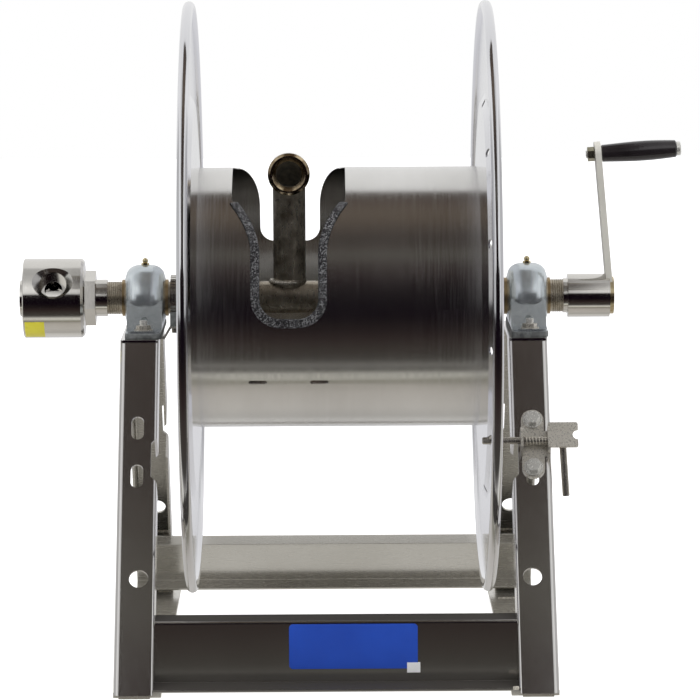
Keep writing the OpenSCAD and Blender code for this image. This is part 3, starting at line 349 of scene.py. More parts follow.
def makeCard():
    # a dark sheet that arches over the front, which only reflections see: painted reflection of shade, with a
    # painted highlight band; above its step it narrows, so that the parts outside the legs see past it, but
    # for the legs' own band
    low, high = stageLook["cardLow"], stageLook["cardTop"]
    radius = stageLook["cardRadius"]
    bandLow, bandHigh = stageLook["cardLegBand"]
    bpy.ops.object.select_all(action="DESELECT")
    bpy.ops.mesh.primitive_grid_add(x_subdivisions=1, y_subdivisions=stageLook["cardRows"], size=1)
    card = bpy.context.object
    card.name = "darkCard"
    mesh = card.data
    for vertex in mesh.vertices:
        degrees = low + (high - low) * (vertex.co.y + 0.5)
        wide = degrees < stageLook["cardStep"]
        half = stageLook["cardHalfWidth"] if wide else stageLook["cardHighHalfWidth"]
        if bandLow <= degrees <= bandHigh:
            half = stageLook["cardLegHalfWidth"]
        turn = math.radians(degrees)
        vertex.co = (2 * half * vertex.co.x, -radius * math.cos(turn),
                     sizes["axleHeight"] + radius * math.sin(turn))
    material = bpy.data.materials.new("darkCard")
    tree = nodeTree(material)
    coordinate = addNode(tree, "ShaderNodeTexCoord")
    split = addNode(tree, "ShaderNodeSeparateXYZ")
    tree.links.new(coordinate.outputs["Object"], split.inputs[0])
    height = maths(tree, "SUBTRACT", split.outputs[2], sizes["axleHeight"])
    angle = maths(tree, "ARCTAN2", height, maths(tree, "MULTIPLY", split.outputs[1], -1.0))
    start, span = stageLook["cardGlowStart"], stageLook["cardGlowSpan"]
    share = maths(tree, "DIVIDE", maths(tree, "SUBTRACT", angle, math.radians(start)), math.radians(span))
    at = lambda d: (d - start) / span
    # painted reflection: near-black where the metal should mirror shade, with a bright peak at 40 degrees
    # that paints the drum's highlight
    cardReflectionPaint = ramp(tree, share, [
        (at(-20), (0.013, 0.009, 0.009)), (at(-10), (0.004, 0.001, 0.004)), (at(0), (0.003, 0.001, 0.003)),
        (at(12), (0.006, 0.003, 0.004)), (at(18), (0.011, 0.006, 0.007)), (at(23), (0.022, 0.014, 0.014)),
        (at(29), (0.036, 0.027, 0.025)), (at(34), (0.054, 0.046, 0.042)), (at(40), (0.092, 0.086, 0.074)),
        (at(46), (0.062, 0.053, 0.046)), (at(51), (0.046, 0.037, 0.032)), (at(57), (0.051, 0.041, 0.036)),
        (at(63), (0.070, 0.057, 0.048)), (at(69), (0.092, 0.073, 0.058)), (at(75), (0.107, 0.085, 0.066)),
        (at(80), (0.115, 0.092, 0.073)), (at(86), (0.107, 0.085, 0.068)), (at(92), (0.088, 0.067, 0.055)),
        (at(99), (0.070, 0.055, 0.046)), (at(106), (0.070, 0.060, 0.052)),
    ])
    # this emission is no lamp; it only paints what reflections see
    lamp = addNode(tree, "ShaderNodeEmission", Strength=1.0)
    output = addNode(tree, "ShaderNodeOutputMaterial")
    tree.links.new(cardReflectionPaint, lamp.inputs["Color"])
    tree.links.new(lamp.outputs[0], output.inputs[0])
    mesh.materials.append(material)
    card.visible_camera = False
    card.visible_diffuse = False
    card.visible_shadow = False
    card.visible_transmission = False


def makeLamp(name, place, aim, size, power):
    data = bpy.data.lights.new(name, "AREA")
    data.shape = "RECTANGLE"
    data.size, data.size_y = size
    data.energy = power
    lamp = bpy.data.objects.new(name, data)
    toward = Vector(aim) - Vector(place)
    lamp.matrix_world = Matrix.Translation(place) @ toward.to_track_quat("-Z", "Y").to_matrix().to_4x4()
    bpy.context.scene.collection.objects.link(lamp)
    lamp.visible_glossy = False
    return lamp


makeWorld()
makeFloor()
makeCard()
makeLamp("lampAbove", (0.3, -0.4, 2.4), (0, 0, 0.3), (2.4, 2.0), 22)
makeLamp("lampFrontLeft", (-2.2, -2.4, 1.5), (0, 0, 0.3), (1.6, 1.6), 16)
makeLamp("lampFrontRight", (2.4, -2.0, 1.2), (0, 0, 0.3), (1.6, 1.6), 12)
bpy.context.scene.view_settings.view_transform = "Standard"
print("stage ready")

# ---- shader groups: colours, masks and values only


def newGroup(name, inputs, outputs):
    group = bpy.data.node_groups.new(name, "ShaderNodeTree")
    for label, kind, value in inputs:
        socket = group.interface.new_socket(name=label, in_out="INPUT", socket_type=kind)
        if value is not None:
            socket.default_value = value
    for label, kind in outputs:
        group.interface.new_socket(name=label, in_out="OUTPUT", socket_type=kind)
    start = group.nodes.new("NodeGroupInput")
    end = group.nodes.new("NodeGroupOutput")
    return group, start.outputs, end.inputs


def makeGrainGroup():
    # brushed grain: fine noise stretched by a vector, and slow blotches under it
    group, given, out = newGroup("metalGrain", [
        ("Vector", "NodeSocketVector", None), ("Stretch", "NodeSocketVector", (1, 1, 1)),
        ("Fineness", "NodeSocketFloat", 400.0), ("Blotch Size", "NodeSocketFloat", 14.0),
    ], [("Grain", "NodeSocketFloat"), ("Blotch", "NodeSocketFloat"), ("Scratch", "NodeSocketFloat")])
    stretched = group.nodes.new("ShaderNodeVectorMath")
    stretched.operation = "MULTIPLY"
    group.links.new(given["Vector"], stretched.inputs[0])
    group.links.new(given["Stretch"], stretched.inputs[1])
    fine = addNode(group, "ShaderNodeTexNoise", Detail=3.0, Roughness=0.6)
    group.links.new(stretched.outputs[0], fine.inputs["Vector"])
    group.links.new(given["Fineness"], fine.inputs["Scale"])
    slow = addNode(group, "ShaderNodeTexNoise", Detail=4.0, Roughness=0.55)
    group.links.new(given["Vector"], slow.inputs["Vector"])
    group.links.new(given["Blotch Size"], slow.inputs["Scale"])
    streak = addNode(group, "ShaderNodeTexNoise", Detail=2.0, Roughness=0.5)
    group.links.new(stretched.outputs[0], streak.inputs["Vector"])
    group.links.new(maths(group, "MULTIPLY", given["Fineness"], 0.21), streak.inputs["Scale"])
    scratch = maths(group, "MULTIPLY", maths(group, "SUBTRACT", streak.outputs[0], 0.60), 9.0, clamp=True)
    group.links.new(fine.outputs[0], out["Grain"])
    group.links.new(slow.outputs[0], out["Blotch"])
    group.links.new(scratch, out["Scratch"])
    return group


def makePolarGroup():
    # place on a turned part: along the axle, out from it, and round it
    group, given, out = newGroup("roundAxle", [
        ("Vector", "NodeSocketVector", None), ("Centre Y", "NodeSocketFloat", 0.0),
        ("Centre Z", "NodeSocketFloat", sizes["axleHeight"]),
    ], [("Vector", "NodeSocketVector"), ("Radius", "NodeSocketFloat"), ("Turn", "NodeSocketFloat")])
    split = group.nodes.new("ShaderNodeSeparateXYZ")
    group.links.new(given["Vector"], split.inputs[0])
    y = maths(group, "SUBTRACT", split.outputs[1], given["Centre Y"])
    z = maths(group, "SUBTRACT", split.outputs[2], given["Centre Z"])
    squares = maths(group, "ADD", maths(group, "MULTIPLY", y, y), maths(group, "MULTIPLY", z, z))
    radius = maths(group, "SQRT", squares)
    turn = maths(group, "ARCTAN2", z, y)
    joined = group.nodes.new("ShaderNodeCombineXYZ")
    group.links.new(split.outputs[0], joined.inputs[0])
    group.links.new(radius, joined.inputs[1])
    group.links.new(maths(group, "MULTIPLY", turn, 0.05), joined.inputs[2])
    group.links.new(joined.outputs[0], out["Vector"])
    group.links.new(radius, out["Radius"])
    group.links.new(turn, out["Turn"])
    return group


grainGroup = makeGrainGroup()
polarGroup = makePolarGroup()


def useGroup(tree, group, **values):
    made = tree.nodes.new("ShaderNodeGroup")
    made.node_tree = group
    for name, value in values.items():
        label = name.replace("_", " ")
        if hasattr(value, "is_linked"):
            tree.links.new(value, made.inputs[label])
        else:
            made.inputs[label].default_value = value
    return made


def scaled(tree, value, low, high):
    made = tree.nodes.new("ShaderNodeMapRange")
    made.inputs["To Min"].default_value = low
    made.inputs["To Max"].default_value = high
    made.inputs["From Min"].default_value = 0.3
    made.inputs["From Max"].default_value = 0.7
    tree.links.new(value, made.inputs["Value"])
    return made.outputs[0]


def metalMaterial(name, look):
    # look: light and dark colour, roughness range, grain stretch, fineness, blotch size, bump
    material = bpy.data.materials.new(name)
    tree = nodeTree(material)
    coordinate = addNode(tree, "ShaderNodeTexCoord")
    vector = coordinate.outputs["Object"]
    if look.get("round"):
        polar = useGroup(tree, polarGroup, Vector=vector)
        vector = polar.outputs["Vector"]
    grain = useGroup(tree, grainGroup, Vector=vector, Stretch=look["stretch"],
                     Fineness=look["fineness"], Blotch_Size=look["blotch"])
    shade = scaled(tree, grain.outputs["Blotch"], 0.0, 1.0)
    colour = mixColour(tree, shade, look["dark"], look["light"])
    lines = maths(tree, "MULTIPLY", grain.outputs["Scratch"], look.get("scratch", 0.15))
    colour = mixColour(tree, lines, colour, look.get("scratchColour", look["light"]))
    if look.get("paintedShadeOnTop"):
        # painted shade: upward faces get a near-black colour, and are rougher and less metallic than the rest
        facing = addNode(tree, "ShaderNodeSeparateXYZ")
        tree.links.new(coordinate.outputs["Normal"], facing.inputs[0])
        up = maths(tree, "MULTIPLY", maths(tree, "SUBTRACT", facing.outputs[2], 0.93), 18.0, clamp=True)
        colour = mixColour(tree, up, colour, look["paintedShadeOnTop"])
    rough = scaled(tree, grain.outputs["Grain"], look["rough"][0], look["rough"][1])
    bsdf = addNode(tree, "ShaderNodeBsdfPrincipled", Metallic=look.get("metallic", 1.0))
    if look.get("paintedShadeOnTop"):
        rough = maths(tree, "MAXIMUM", rough, maths(tree, "MULTIPLY", up, 0.95))
        tree.links.new(maths(tree, "SUBTRACT", 1.0, up), bsdf.inputs["Metallic"])
    if look.get("behind"):
        # behind the turned mouth the pipe is as dull as the rest of it
        place = addNode(tree, "ShaderNodeSeparateXYZ")
        tree.links.new(coordinate.outputs["Object"], place.inputs[0])
        depth, dullColour, dullRough, dullMetal = look["behind"]
        mouth = maths(tree, "MULTIPLY", maths(tree, "SUBTRACT", depth, place.outputs[1]), 2500.0, clamp=True)
        dull = mixColour(tree, shade, [0.5 * c for c in dullColour], dullColour)
        colour = mixColour(tree, mouth, dull, colour)
        away = maths(tree, "SUBTRACT", 1.0, mouth)
        rough = maths(tree, "ADD", rough, maths(tree, "MULTIPLY", away, dullRough))
        metal = maths(tree, "ADD", maths(tree, "MULTIPLY", mouth, 1.0 - dullMetal), dullMetal)
        tree.links.new(metal, bsdf.inputs["Metallic"])
    if look.get("coat"):
        bsdf.inputs["Coat Weight"].default_value = look["coat"]
        bsdf.inputs["Coat Roughness"].default_value = 0.08
    bump = addNode(tree, "ShaderNodeBump", Strength=look.get("bumpStrength", 0.2), Distance=look["bump"])
    tree.links.new(grain.outputs["Grain"], bump.inputs["Height"])
    tree.links.new(colour, bsdf.inputs["Base Color"])
    tree.links.new(rough, bsdf.inputs["Roughness"])
    tree.links.new(bump.outputs[0], bsdf.inputs["Normal"])
    output = addNode(tree, "ShaderNodeOutputMaterial")
    tree.links.new(bsdf.outputs[0], output.inputs[0])
    return material


def clothMaterial(name, look):
    # dark cloth with pale thread ends showing through, as speckles about a millimetre across
    material = bpy.data.materials.new(name)
    tree = nodeTree(material)
    coordinate = addNode(tree, "ShaderNodeTexCoord")
    fine = addNode(tree, "ShaderNodeTexNoise", Scale=look["speckle"], Detail=2.0, Roughness=0.7)
    slow = addNode(tree, "ShaderNodeTexNoise", Scale=look["slow"], Detail=2.0, Roughness=0.5)
    tree.links.new(coordinate.outputs["Object"], fine.inputs["Vector"])
    tree.links.new(coordinate.outputs["Object"], slow.inputs["Vector"])
    low, high = look["shares"]
    shift = maths(tree, "MULTIPLY", maths(tree, "SUBTRACT", slow.outputs[0], 0.5), 0.15)
    value = maths(tree, "ADD", fine.outputs[0], shift)
    speck = maths(tree, "DIVIDE", maths(tree, "SUBTRACT", value, low), high - low, clamp=True)
    bsdf = addNode(tree, "ShaderNodeBsdfPrincipled", Roughness=0.9, Metallic=0.0)
    bump = addNode(tree, "ShaderNodeBump", Strength=0.8, Distance=look["bump"])
    tree.links.new(fine.outputs[0], bump.inputs["Height"])
    tree.links.new(mixColour(tree, speck, look["ground"], look["thread"]), bsdf.inputs["Base Color"])
    tree.links.new(bump.outputs[0], bsdf.inputs["Normal"])
    output = addNode(tree, "ShaderNodeOutputMaterial")
    tree.links.new(bsdf.outputs[0], output.inputs[0])
    return material


finishes = {
    "discSteel": metalMaterial("discSteel", {
        "light": (0.84, 0.84, 0.86), "dark": (0.76, 0.76, 0.79), "rough": (0.10, 0.16), "round": True,
        "stretch": (1, 1, 0.04), "fineness": 900.0, "blotch": 9.0, "bump": 0.00001, "scratch": 0.03}),
    "drumSteel": metalMaterial("drumSteel", {
        "light": (0.80, 0.79, 0.77), "dark": (0.70, 0.69, 0.67), "rough": (0.16, 0.26), "round": True,
        "stretch": (1, 1, 0.05), "fineness": 1100.0, "blotch": 11.0, "bump": 0.00002}),
    "legSteel": metalMaterial("legSteel", {
        "light": (0.78, 0.765, 0.75), "dark": (0.70, 0.685, 0.67), "rough": (0.10, 0.15),
        "stretch": (1, 0.08, 0.08), "fineness": 1400.0, "blotch": 12.0, "bump": 0.000006,
        "bumpStrength": 0.1, "scratch": 0.02}),
    # a copy of the frame steel for the parts at the back, less metallic, whose darker, warmer colour is
    # painted shade
    "rearShadedSteel": metalMaterial("rearShadedSteel", {
        "light": (0.70, 0.68, 0.63), "dark": (0.64, 0.62, 0.565), "rough": (0.24, 0.28), "metallic": 0.80,
        "stretch": (0.06, 1, 1), "fineness": 900.0, "blotch": 9.0, "bump": 0.000002,
        "bumpStrength": 0.05, "scratch": 0.01}),
    "memberSteel": metalMaterial("memberSteel", {
        "light": (0.74, 0.73, 0.70), "dark": (0.68, 0.67, 0.64), "rough": (0.15, 0.20),
        # painted shade on the upward faces of the front cross member
        "paintedShadeOnTop": (0.05, 0.045, 0.04),
        "stretch": (0.05, 1, 1), "fineness": 1400.0, "blotch": 16.0, "bump": 0.000006,
        "bumpStrength": 0.1, "scratch": 0.02}),
    "turnedSteel": metalMaterial("turnedSteel", {
        "light": (0.78, 0.76, 0.72), "dark": (0.70, 0.68, 0.64), "rough": (0.11, 0.17), "round": True,
        "stretch": (1, 0.3, 0.02), "fineness": 1500.0, "blotch": 18.0, "bump": 0.000004,
        "bumpStrength": 0.1, "scratch": 0.04}),
    "zincCasting": metalMaterial("zincCasting", {
        "light": (0.70, 0.75, 0.78), "dark": (0.58, 0.63, 0.66), "rough": (0.19, 0.27), "metallic": 0.84,
        "stretch": (1, 1, 1), "fineness": 500.0, "blotch": 60.0, "bump": 0.00001, "scratch": 0.0}),
    "pipeSteel": metalMaterial("pipeSteel", {
        "light": (0.64, 0.58, 0.48), "dark": (0.26, 0.22, 0.165), "rough": (0.22, 0.40), "metallic": 0.82,
        "stretch": (1, 1, 0.3), "fineness": 500.0, "blotch": 80.0, "bump": 0.0001, "scratch": 0.3}),
    "outletSteel": metalMaterial("outletSteel", {
        "light": (0.74, 0.62, 0.42), "dark": (0.36, 0.26, 0.15), "rough": (0.10, 0.24),
        "stretch": (1, 1, 1), "fineness": 700.0, "blotch": 160.0, "bump": 0.0001, "scratch": 0.3,
        "scratchColour": (0.86, 0.78, 0.62), "behind": (-0.0335, (0.52, 0.47, 0.38), 0.18, 0.6)}),
    "dullSteel": metalMaterial("dullSteel", {
        "light": (0.60, 0.57, 0.51), "dark": (0.50, 0.47, 0.42), "rough": (0.20, 0.28), "metallic": 0.9,
        "stretch": (1, 1, 0.2), "fineness": 500.0, "blotch": 30.0, "bump": 0.00001, "scratch": 0.02}),
    "strapSteel": metalMaterial("strapSteel", {
        "light": (0.68, 0.65, 0.585), "dark": (0.58, 0.55, 0.49), "rough": (0.24, 0.34), "metallic": 0.68,
        "stretch": (1, 1, 1), "fineness": 500.0, "blotch": 35.0, "bump": 0.00001, "scratch": 0.02}),
    "boltSteel": metalMaterial("boltSteel", {
        "light": (0.80, 0.79, 0.75), "dark": (0.70, 0.69, 0.65), "rough": (0.20, 0.30), "metallic": 0.65,
        "stretch": (1, 1, 1), "fineness": 500.0, "blotch": 50.0, "bump": 0.00001, "scratch": 0.02}),
    "crankSteel": metalMaterial("crankSteel", {
        "light": (0.86, 0.84, 0.77), "dark": (0.78, 0.76, 0.69), "rough": (0.50, 0.62), "metallic": 0.35,
        "stretch": (1, 1, 0.05), "fineness": 900.0, "blotch": 20.0, "bump": 0.00003, "scratch": 0.05}),
    "bronze": metalMaterial("bronze", {
        "light": (0.50, 0.38, 0.22), "dark": (0.28, 0.20, 0.11), "rough": (0.28, 0.42),
        "stretch": (1, 1, 1), "fineness": 600.0, "blotch": 70.0, "bump": 0.00008}),
    "brass": metalMaterial("brass", {
        "light": (0.80, 0.70, 0.44), "dark": (0.58, 0.48, 0.28), "rough": (0.16, 0.26),
        "stretch": (1, 1, 1), "fineness": 700.0, "blotch": 60.0, "bump": 0.00005}),
    "plateTint": metalMaterial("plateTint", {
        "light": (0.72, 0.62, 0.40), "dark": (0.48, 0.38, 0.22), "rough": (0.22, 0.34), "round": True,
        "stretch": (1, 0.4, 0.03), "fineness": 1200.0, "blotch": 30.0, "bump": 0.00005}),
    "rubber": metalMaterial("rubber", {
        "light": (0.24, 0.25, 0.25), "dark": (0.07, 0.075, 0.075), "rough": (0.45, 0.7), "metallic": 0.0,
        "stretch": (0.4, 0.4, 1.6), "fineness": 300.0, "blotch": 160.0, "bump": 0.0005, "bumpStrength": 0.5}),
    "sealPlastic": metalMaterial("sealPlastic", {
        "light": (0.84, 0.82, 0.76), "dark": (0.74, 0.72, 0.66), "rough": (0.4, 0.55), "metallic": 0.0,
        "stretch": (1, 1, 1), "fineness": 400.0, "blotch": 40.0, "bump": 0.0001}),
    "gripBlack": metalMaterial("gripBlack", {
        "light": (0.020, 0.016, 0.018), "dark": (0.008, 0.006, 0.007), "rough": (0.16, 0.24),
        "metallic": 0.0, "stretch": (0.2, 1, 1), "fineness": 500.0, "blotch": 40.0,
        "bump": 0.00005, "coat": 0.4, "scratch": 0.05}),
    "yellowFilm": metalMaterial("yellowFilm", {
        "light": (0.88, 0.80, 0.06), "dark": (0.80, 0.70, 0.04), "rough": (0.3, 0.4), "metallic": 0.0,
        "stretch": (1, 1, 1), "fineness": 300.0, "blotch": 40.0, "bump": 0.00005, "scratch": 0.0}),
    "blueFilm": metalMaterial("blueFilm", {
        "light": (0.010, 0.075, 0.52), "dark": (0.008, 0.060, 0.44), "rough": (0.28, 0.38), "metallic": 0.0,
        "stretch": (1, 1, 1), "fineness": 300.0, "blotch": 20.0, "bump": 0.00004, "scratch": 0.0}),
    "whiteFilm": metalMaterial("whiteFilm", {
        "light": (0.86, 0.86, 0.87), "dark": (0.80, 0.80, 0.81), "rough": (0.3, 0.42), "metallic": 0.0,
        "stretch": (1, 1, 1), "fineness": 300.0, "blotch": 30.0, "bump": 0.00004, "scratch": 0.0}),
    "nutSteel": metalMaterial("nutSteel", {
        "light": (0.42, 0.40, 0.30), "dark": (0.24, 0.22, 0.15), "rough": (0.24, 0.38),
        "stretch": (1, 1, 1), "fineness": 700.0, "blotch": 80.0, "bump": 0.00008}),
    "springSteel": metalMaterial("springSteel", {
        "light": (0.82, 0.78, 0.68), "dark": (0.62, 0.58, 0.50), "rough": (0.22, 0.34), "metallic": 0.6,
        "stretch": (1, 1, 1), "fineness": 700.0, "blotch": 80.0, "bump": 0.00005}),
    "threadSteel": metalMaterial("threadSteel", {
        "light": (0.46, 0.42, 0.33), "dark": (0.24, 0.21, 0.16), "rough": (0.26, 0.40),
        "stretch": (1, 1, 1), "fineness": 600.0, "blotch": 70.0, "bump": 0.0001}),
    "trimCloth": clothMaterial("trimCloth", {
        "ground": (0.012, 0.011, 0.013), "thread": (0.27, 0.27, 0.28), "speckle": 720.0,
        "shares": (0.50, 0.62), "slow": 90.0, "bump": 0.0003}),
    "weldMetal": metalMaterial("weldMetal", {
        "light": (0.88, 0.84, 0.76), "dark": (0.50, 0.45, 0.37), "rough": (0.20, 0.36), "metallic": 0.45,
        "stretch": (1, 1, 1), "fineness": 500.0, "blotch": 220.0, "bump": 0.0001}),
}

finishOfNode = {
    "discSteel": ["disc_left", "disc_right"],
    "drumSteel": ["drum"],
    "legSteel": ["front_leg_left", "front_leg_right", "top_plate_left", "top_plate_right"],
    "rearShadedSteel": [
        "rear_leg_left", "rear_leg_right", "rear_cross_member", "base_rail_left", "base_rail_right",
    ],
    "memberSteel": ["front_cross_member"],
    "turnedSteel": ["swivel_body", "swivel_cap", "hub_left", "hub_right", "brake_ring", "crank_hub",
                    "swivel_stem", "axle_collar"],
    "zincCasting": ["bearing_housing_left", "bearing_housing_right"],
    "pipeSteel": ["axle_pipe", "riser_pipe", "flow_plug"],
    "outletSteel": ["outlet_elbow"],
    "dullSteel": ["leg_shoes", "lock_pin", "pin_clip", "spring_washer", "lock_spring", "brake_bolt"],
    "strapSteel": ["brake_strap", "lock_bracket", "bearing_nuts"],
    "boltSteel": ["bearing_bolts", "bracket_bolts", "bracket_washers", "bracket_nuts",
                  "hub_bolt_set", "hub_nut_set", "handle_bolt", "handle_nut"],
    "crankSteel": ["crank_arm"],
    "bronze": ["bushing_left", "bushing_right"],
    "brass": ["grease_nipples"],
    "plateTint": ["crank_end_plate"],
    "rubber": ["bearing_pad_left", "bearing_pad_right", "brake_block", "slot_edge_trim"],
    "sealPlastic": ["swivel_seals"],
    "gripBlack": ["grip"],
    "yellowFilm": ["blank_sticker"],
    "blueFilm": ["blank_plate"],
    "whiteFilm": ["blank_tag"],
}
for finish, names in finishOfNode.items():
    for name in names:
        node = nodes[name]
        for materialSlot in node.material_slots:
            materialSlot.material = finishes[finish]
missed = sorted(set(nodes) - {n for names in finishOfNode.values() for n in names})
print("finishes given; nodes without one:", missed)

# ---- shaping helpers, each a run of ordinary operators


def deselectAll():
    if bpy.context.object and bpy.context.object.mode != "OBJECT":
        bpy.ops.object.mode_set(mode="OBJECT")
    bpy.ops.object.select_all(action="DESELECT")


def makeActive(piece):
    deselectAll()
    piece.select_set(True)
    bpy.context.view_layer.objects.active = piece


def addModifier(piece, kind, **settings):
    modifier = piece.modifiers.new(kind.lower(), kind)
    for name, value in settings.items():
        setattr(modifier, name, value)
    return modifier


def applyModifiers(piece):
    makeActive(piece)
    for modifier in list(piece.modifiers):
        bpy.ops.object.modifier_apply(modifier=modifier.name)


def settlePlace(piece):
    makeActive(piece)
    bpy.ops.object.transform_apply(location=True, rotation=True, scale=True)


def fixNormals(piece):
    makeActive(piece)
    bpy.ops.object.mode_set(mode="EDIT")
    bpy.ops.mesh.select_all(action="SELECT")
    bpy.ops.mesh.remove_doubles(threshold=0.000001)
    bpy.ops.mesh.normals_make_consistent(inside=False)
    bpy.ops.object.mode_set(mode="OBJECT")


def copyOf(piece, name, shift=(0, 0, 0)):
    twin = piece.copy()
    twin.data = piece.data.copy()
    twin.name = name
    bpy.context.scene.collection.objects.link(twin)
    twin.location = piece.location + Vector(shift)
    return twin


def joinPieces(pieces, name):
    deselectAll()
    for piece in pieces:
        piece.select_set(True)
    bpy.context.view_layer.objects.active = pieces[0]
    bpy.ops.object.join()
    pieces[0].name = name
    return pieces[0]


def finishPiece(piece, name, body, finish, replaces=(), angle=35, flats=False):
    applyModifiers(piece)
    settlePlace(piece)
    piece.name = name
    piece.data.name = name
    piece.data.materials.clear()
    piece.data.materials.append(finishes[finish])
    makeActive(piece)
    if angle:
        bpy.ops.object.shade_smooth_by_angle(angle=math.radians(angle))
    else:
        bpy.ops.object.shade_smooth()
    if flats:
        # weighted normals keep the flats flat beside a softened edge
        addModifier(piece, "WEIGHTED_NORMAL", mode="FACE_AREA", weight=100, keep_sharp=True)
        applyModifiers(piece)
    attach(piece, body)
    if replaces:
        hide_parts(*replaces)
    deselectAll()
    return piece


def mergedCopy(nodeName, name):
    # the CAD node's loose triangles, copied and welded into one skin
    piece = copyOf(nodes[nodeName], name)
    makeActive(piece)
    if piece.data.has_custom_normals:
        bpy.ops.mesh.customdata_custom_splitnormals_clear()
    bpy.ops.object.mode_set(mode="EDIT")
    bpy.ops.mesh.select_all(action="SELECT")
    bpy.ops.mesh.remove_doubles(threshold=0.000002)
    bpy.ops.mesh.dissolve_limited(angle_limit=math.radians(0.4), delimit={"NORMAL"})
    bpy.ops.object.mode_set(mode="OBJECT")
    return piece


# ---- softened edges: sheet metal and fasteners whose arrises catch the light

softLook = {
    # node: (width of the softened edge in mm, body, slot, finish)
    "front_leg_left": (0.7, "stand", "brushed_stainless", "legSteel"),
    "front_leg_right": (0.7, "stand", "brushed_stainless", "legSteel"),
    "rear_leg_left": (0.7, "stand", "brushed_stainless", "rearShadedSteel"),
    "rear_leg_right": (0.7, "stand", "brushed_stainless", "rearShadedSteel"),
    "front_cross_member": (0.3, "stand", "brushed_stainless", "memberSteel"),
    "rear_cross_member": (0.5, "stand", "brushed_stainless", "rearShadedSteel"),
    "top_plate_left": (0.9, "stand", "brushed_stainless", "legSteel"),
    "top_plate_right": (0.9, "stand", "brushed_stainless", "legSteel"),
    "lock_bracket": (0.5, "stand", "brushed_stainless", "strapSteel"),
    "bracket_bolts": (0.5, "stand", "fastener_steel", "boltSteel"),
    "bracket_washers": (0.3, "stand", "fastener_steel", "boltSteel"),
    "bearing_bolts": (0.5, "stand", "fastener_steel", "boltSteel"),
    "bearing_nuts": (0.5, "stand", "fastener_steel", "strapSteel"),
    "bearing_pad_left": (0.8, "stand", "pad_rubber", "rubber"),
    "bearing_pad_right": (0.8, "stand", "pad_rubber", "rubber"),
    "crank_arm": (0.6, "reel", "polished_stainless", "crankSteel"),
    "handle_nut": (0.5, "reel", "fastener_steel", "nutSteel"),
    "blank_plate": (0.25, "stand", "blue_film", "blueFilm"),
    "blank_tag": (0.15, "stand", "white_film", "whiteFilm"),
}


def softenNode(nodeName, width, body, finish):
    piece = mergedCopy(nodeName, nodeName + "_soft")
    addModifier(piece, "BEVEL", width=width * mm, segments=2, limit_method="ANGLE",
                angle_limit=math.radians(38), use_clamp_overlap=True, harden_normals=False)
    return finishPiece(piece, nodeName + "_soft", body, finish, (nodeName,), 60, flats=True)


for nodeName, (width, body, slot, finish) in softLook.items():
    softenNode(nodeName, width, body, finish)
print("softened edges:", len(softLook))

# ---- fuzzy edging round the hose slot

trimLook = {"voxel": 0.7, "fuzz": 0.55, "fuzzSize": 0.0011}


def makeSlotTrim():
    piece = mergedCopy("slot_edge_trim", "slotEdging")
    addModifier(piece, "REMESH", mode="VOXEL", voxel_size=trimLook["voxel"] * mm)
    addModifier(piece, "SMOOTH", factor=0.5, iterations=3)
    fuzz = bpy.data.textures.new("fuzz", "CLOUDS")
    fuzz.noise_scale = trimLook["fuzzSize"]
    fuzz.noise_depth = 1
    addModifier(piece, "DISPLACE", texture=fuzz, texture_coords="LOCAL",
                strength=trimLook["fuzz"] * mm, mid_level=0.45)
    return finishPiece(piece, "slotEdging", "reel", "trimCloth", ("slot_edge_trim",), 0)


slotEdging = makeSlotTrim()
print("slot edging:", len(slotEdging.data.polygons), "faces")

# ---- return spring of the lock pin

springLook = {
    "start": 0.1899, "end": 0.2129, "y": -0.15709, "z": 0.22979,
    "wire": 0.80, "middle": 8.5, "turns": 7, "stepsATurn": 22,
}


def makeSpring():
    wire = springLook["wire"] * mm
    deselectAll()
    bpy.ops.mesh.primitive_circle_add(vertices=8, radius=wire / 2, fill_type="NOTHING")
    piece = bpy.context.object
    bpy.ops.object.mode_set(mode="EDIT")
    bpy.ops.mesh.select_all(action="SELECT")
    bpy.ops.transform.translate(value=(wire / 2, springLook["middle"] * mm / 2, 0))
    bpy.ops.object.mode_set(mode="OBJECT")
    turns = springLook["turns"]
    steps = springLook["stepsATurn"] * turns
    addModifier(piece, "SCREW", axis="X", angle=2 * math.pi * turns, steps=steps, render_steps=steps,
                screw_offset=springLook["end"] - springLook["start"] - wire)
    applyModifiers(piece)
    bpy.ops.object.mode_set(mode="EDIT")
    bpy.ops.mesh.select_all(action="DESELECT")
    bpy.ops.mesh.select_mode(type="EDGE")
    bpy.ops.mesh.select_non_manifold()
    bpy.ops.mesh.edge_face_add()
    bpy.ops.object.mode_set(mode="OBJECT")
    fixNormals(piece)
    piece.location = (springLook["start"], springLook["y"], springLook["z"])
    finishPiece(piece, "returnSpring", "lock_slider", "springSteel", ("lock_spring",), 0)
    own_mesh(piece)
    return piece


makeSpring()

# ---- pipe threads on the axle, outside each bearing

threadLook = {
    "pitch": 2.2, "tooth": 0.95,
    "left": (-0.2325, -0.2184), "right": (0.2245, 0.2366),
}


def makeThread(name, start, end):
    tooth = threadLook["tooth"] * mm
    deselectAll()
    bpy.ops.mesh.primitive_circle_add(vertices=3, radius=tooth, fill_type="NOTHING")
    piece = bpy.context.object
    bpy.ops.object.mode_set(mode="EDIT")
    bpy.ops.mesh.select_all(action="SELECT")
    bpy.ops.transform.translate(value=(tooth, sizes["pipeRadius"] - 0.35 * mm, 0))
    bpy.ops.object.mode_set(mode="OBJECT")
    length = end - start - 2 * tooth
    turns = length / (threadLook["pitch"] * mm)
    steps = int(40 * turns)
    addModifier(piece, "SCREW", axis="X", angle=2 * math.pi * turns, steps=steps, render_steps=steps,
                screw_offset=length)
    applyModifiers(piece)
    fixNormals(piece)
    piece.location = (start, 0, sizes["axleHeight"])
    return finishPiece(piece, name, "reel", "threadSteel", (), 60)


makeThread("threadLeft", *threadLook["left"])
makeThread("threadRight", *threadLook["right"])
print("spring and threads made")

# ---- weld beads

weldLook = {"ripple": 0.55, "flat": 0.62, "voxel": 0.55}


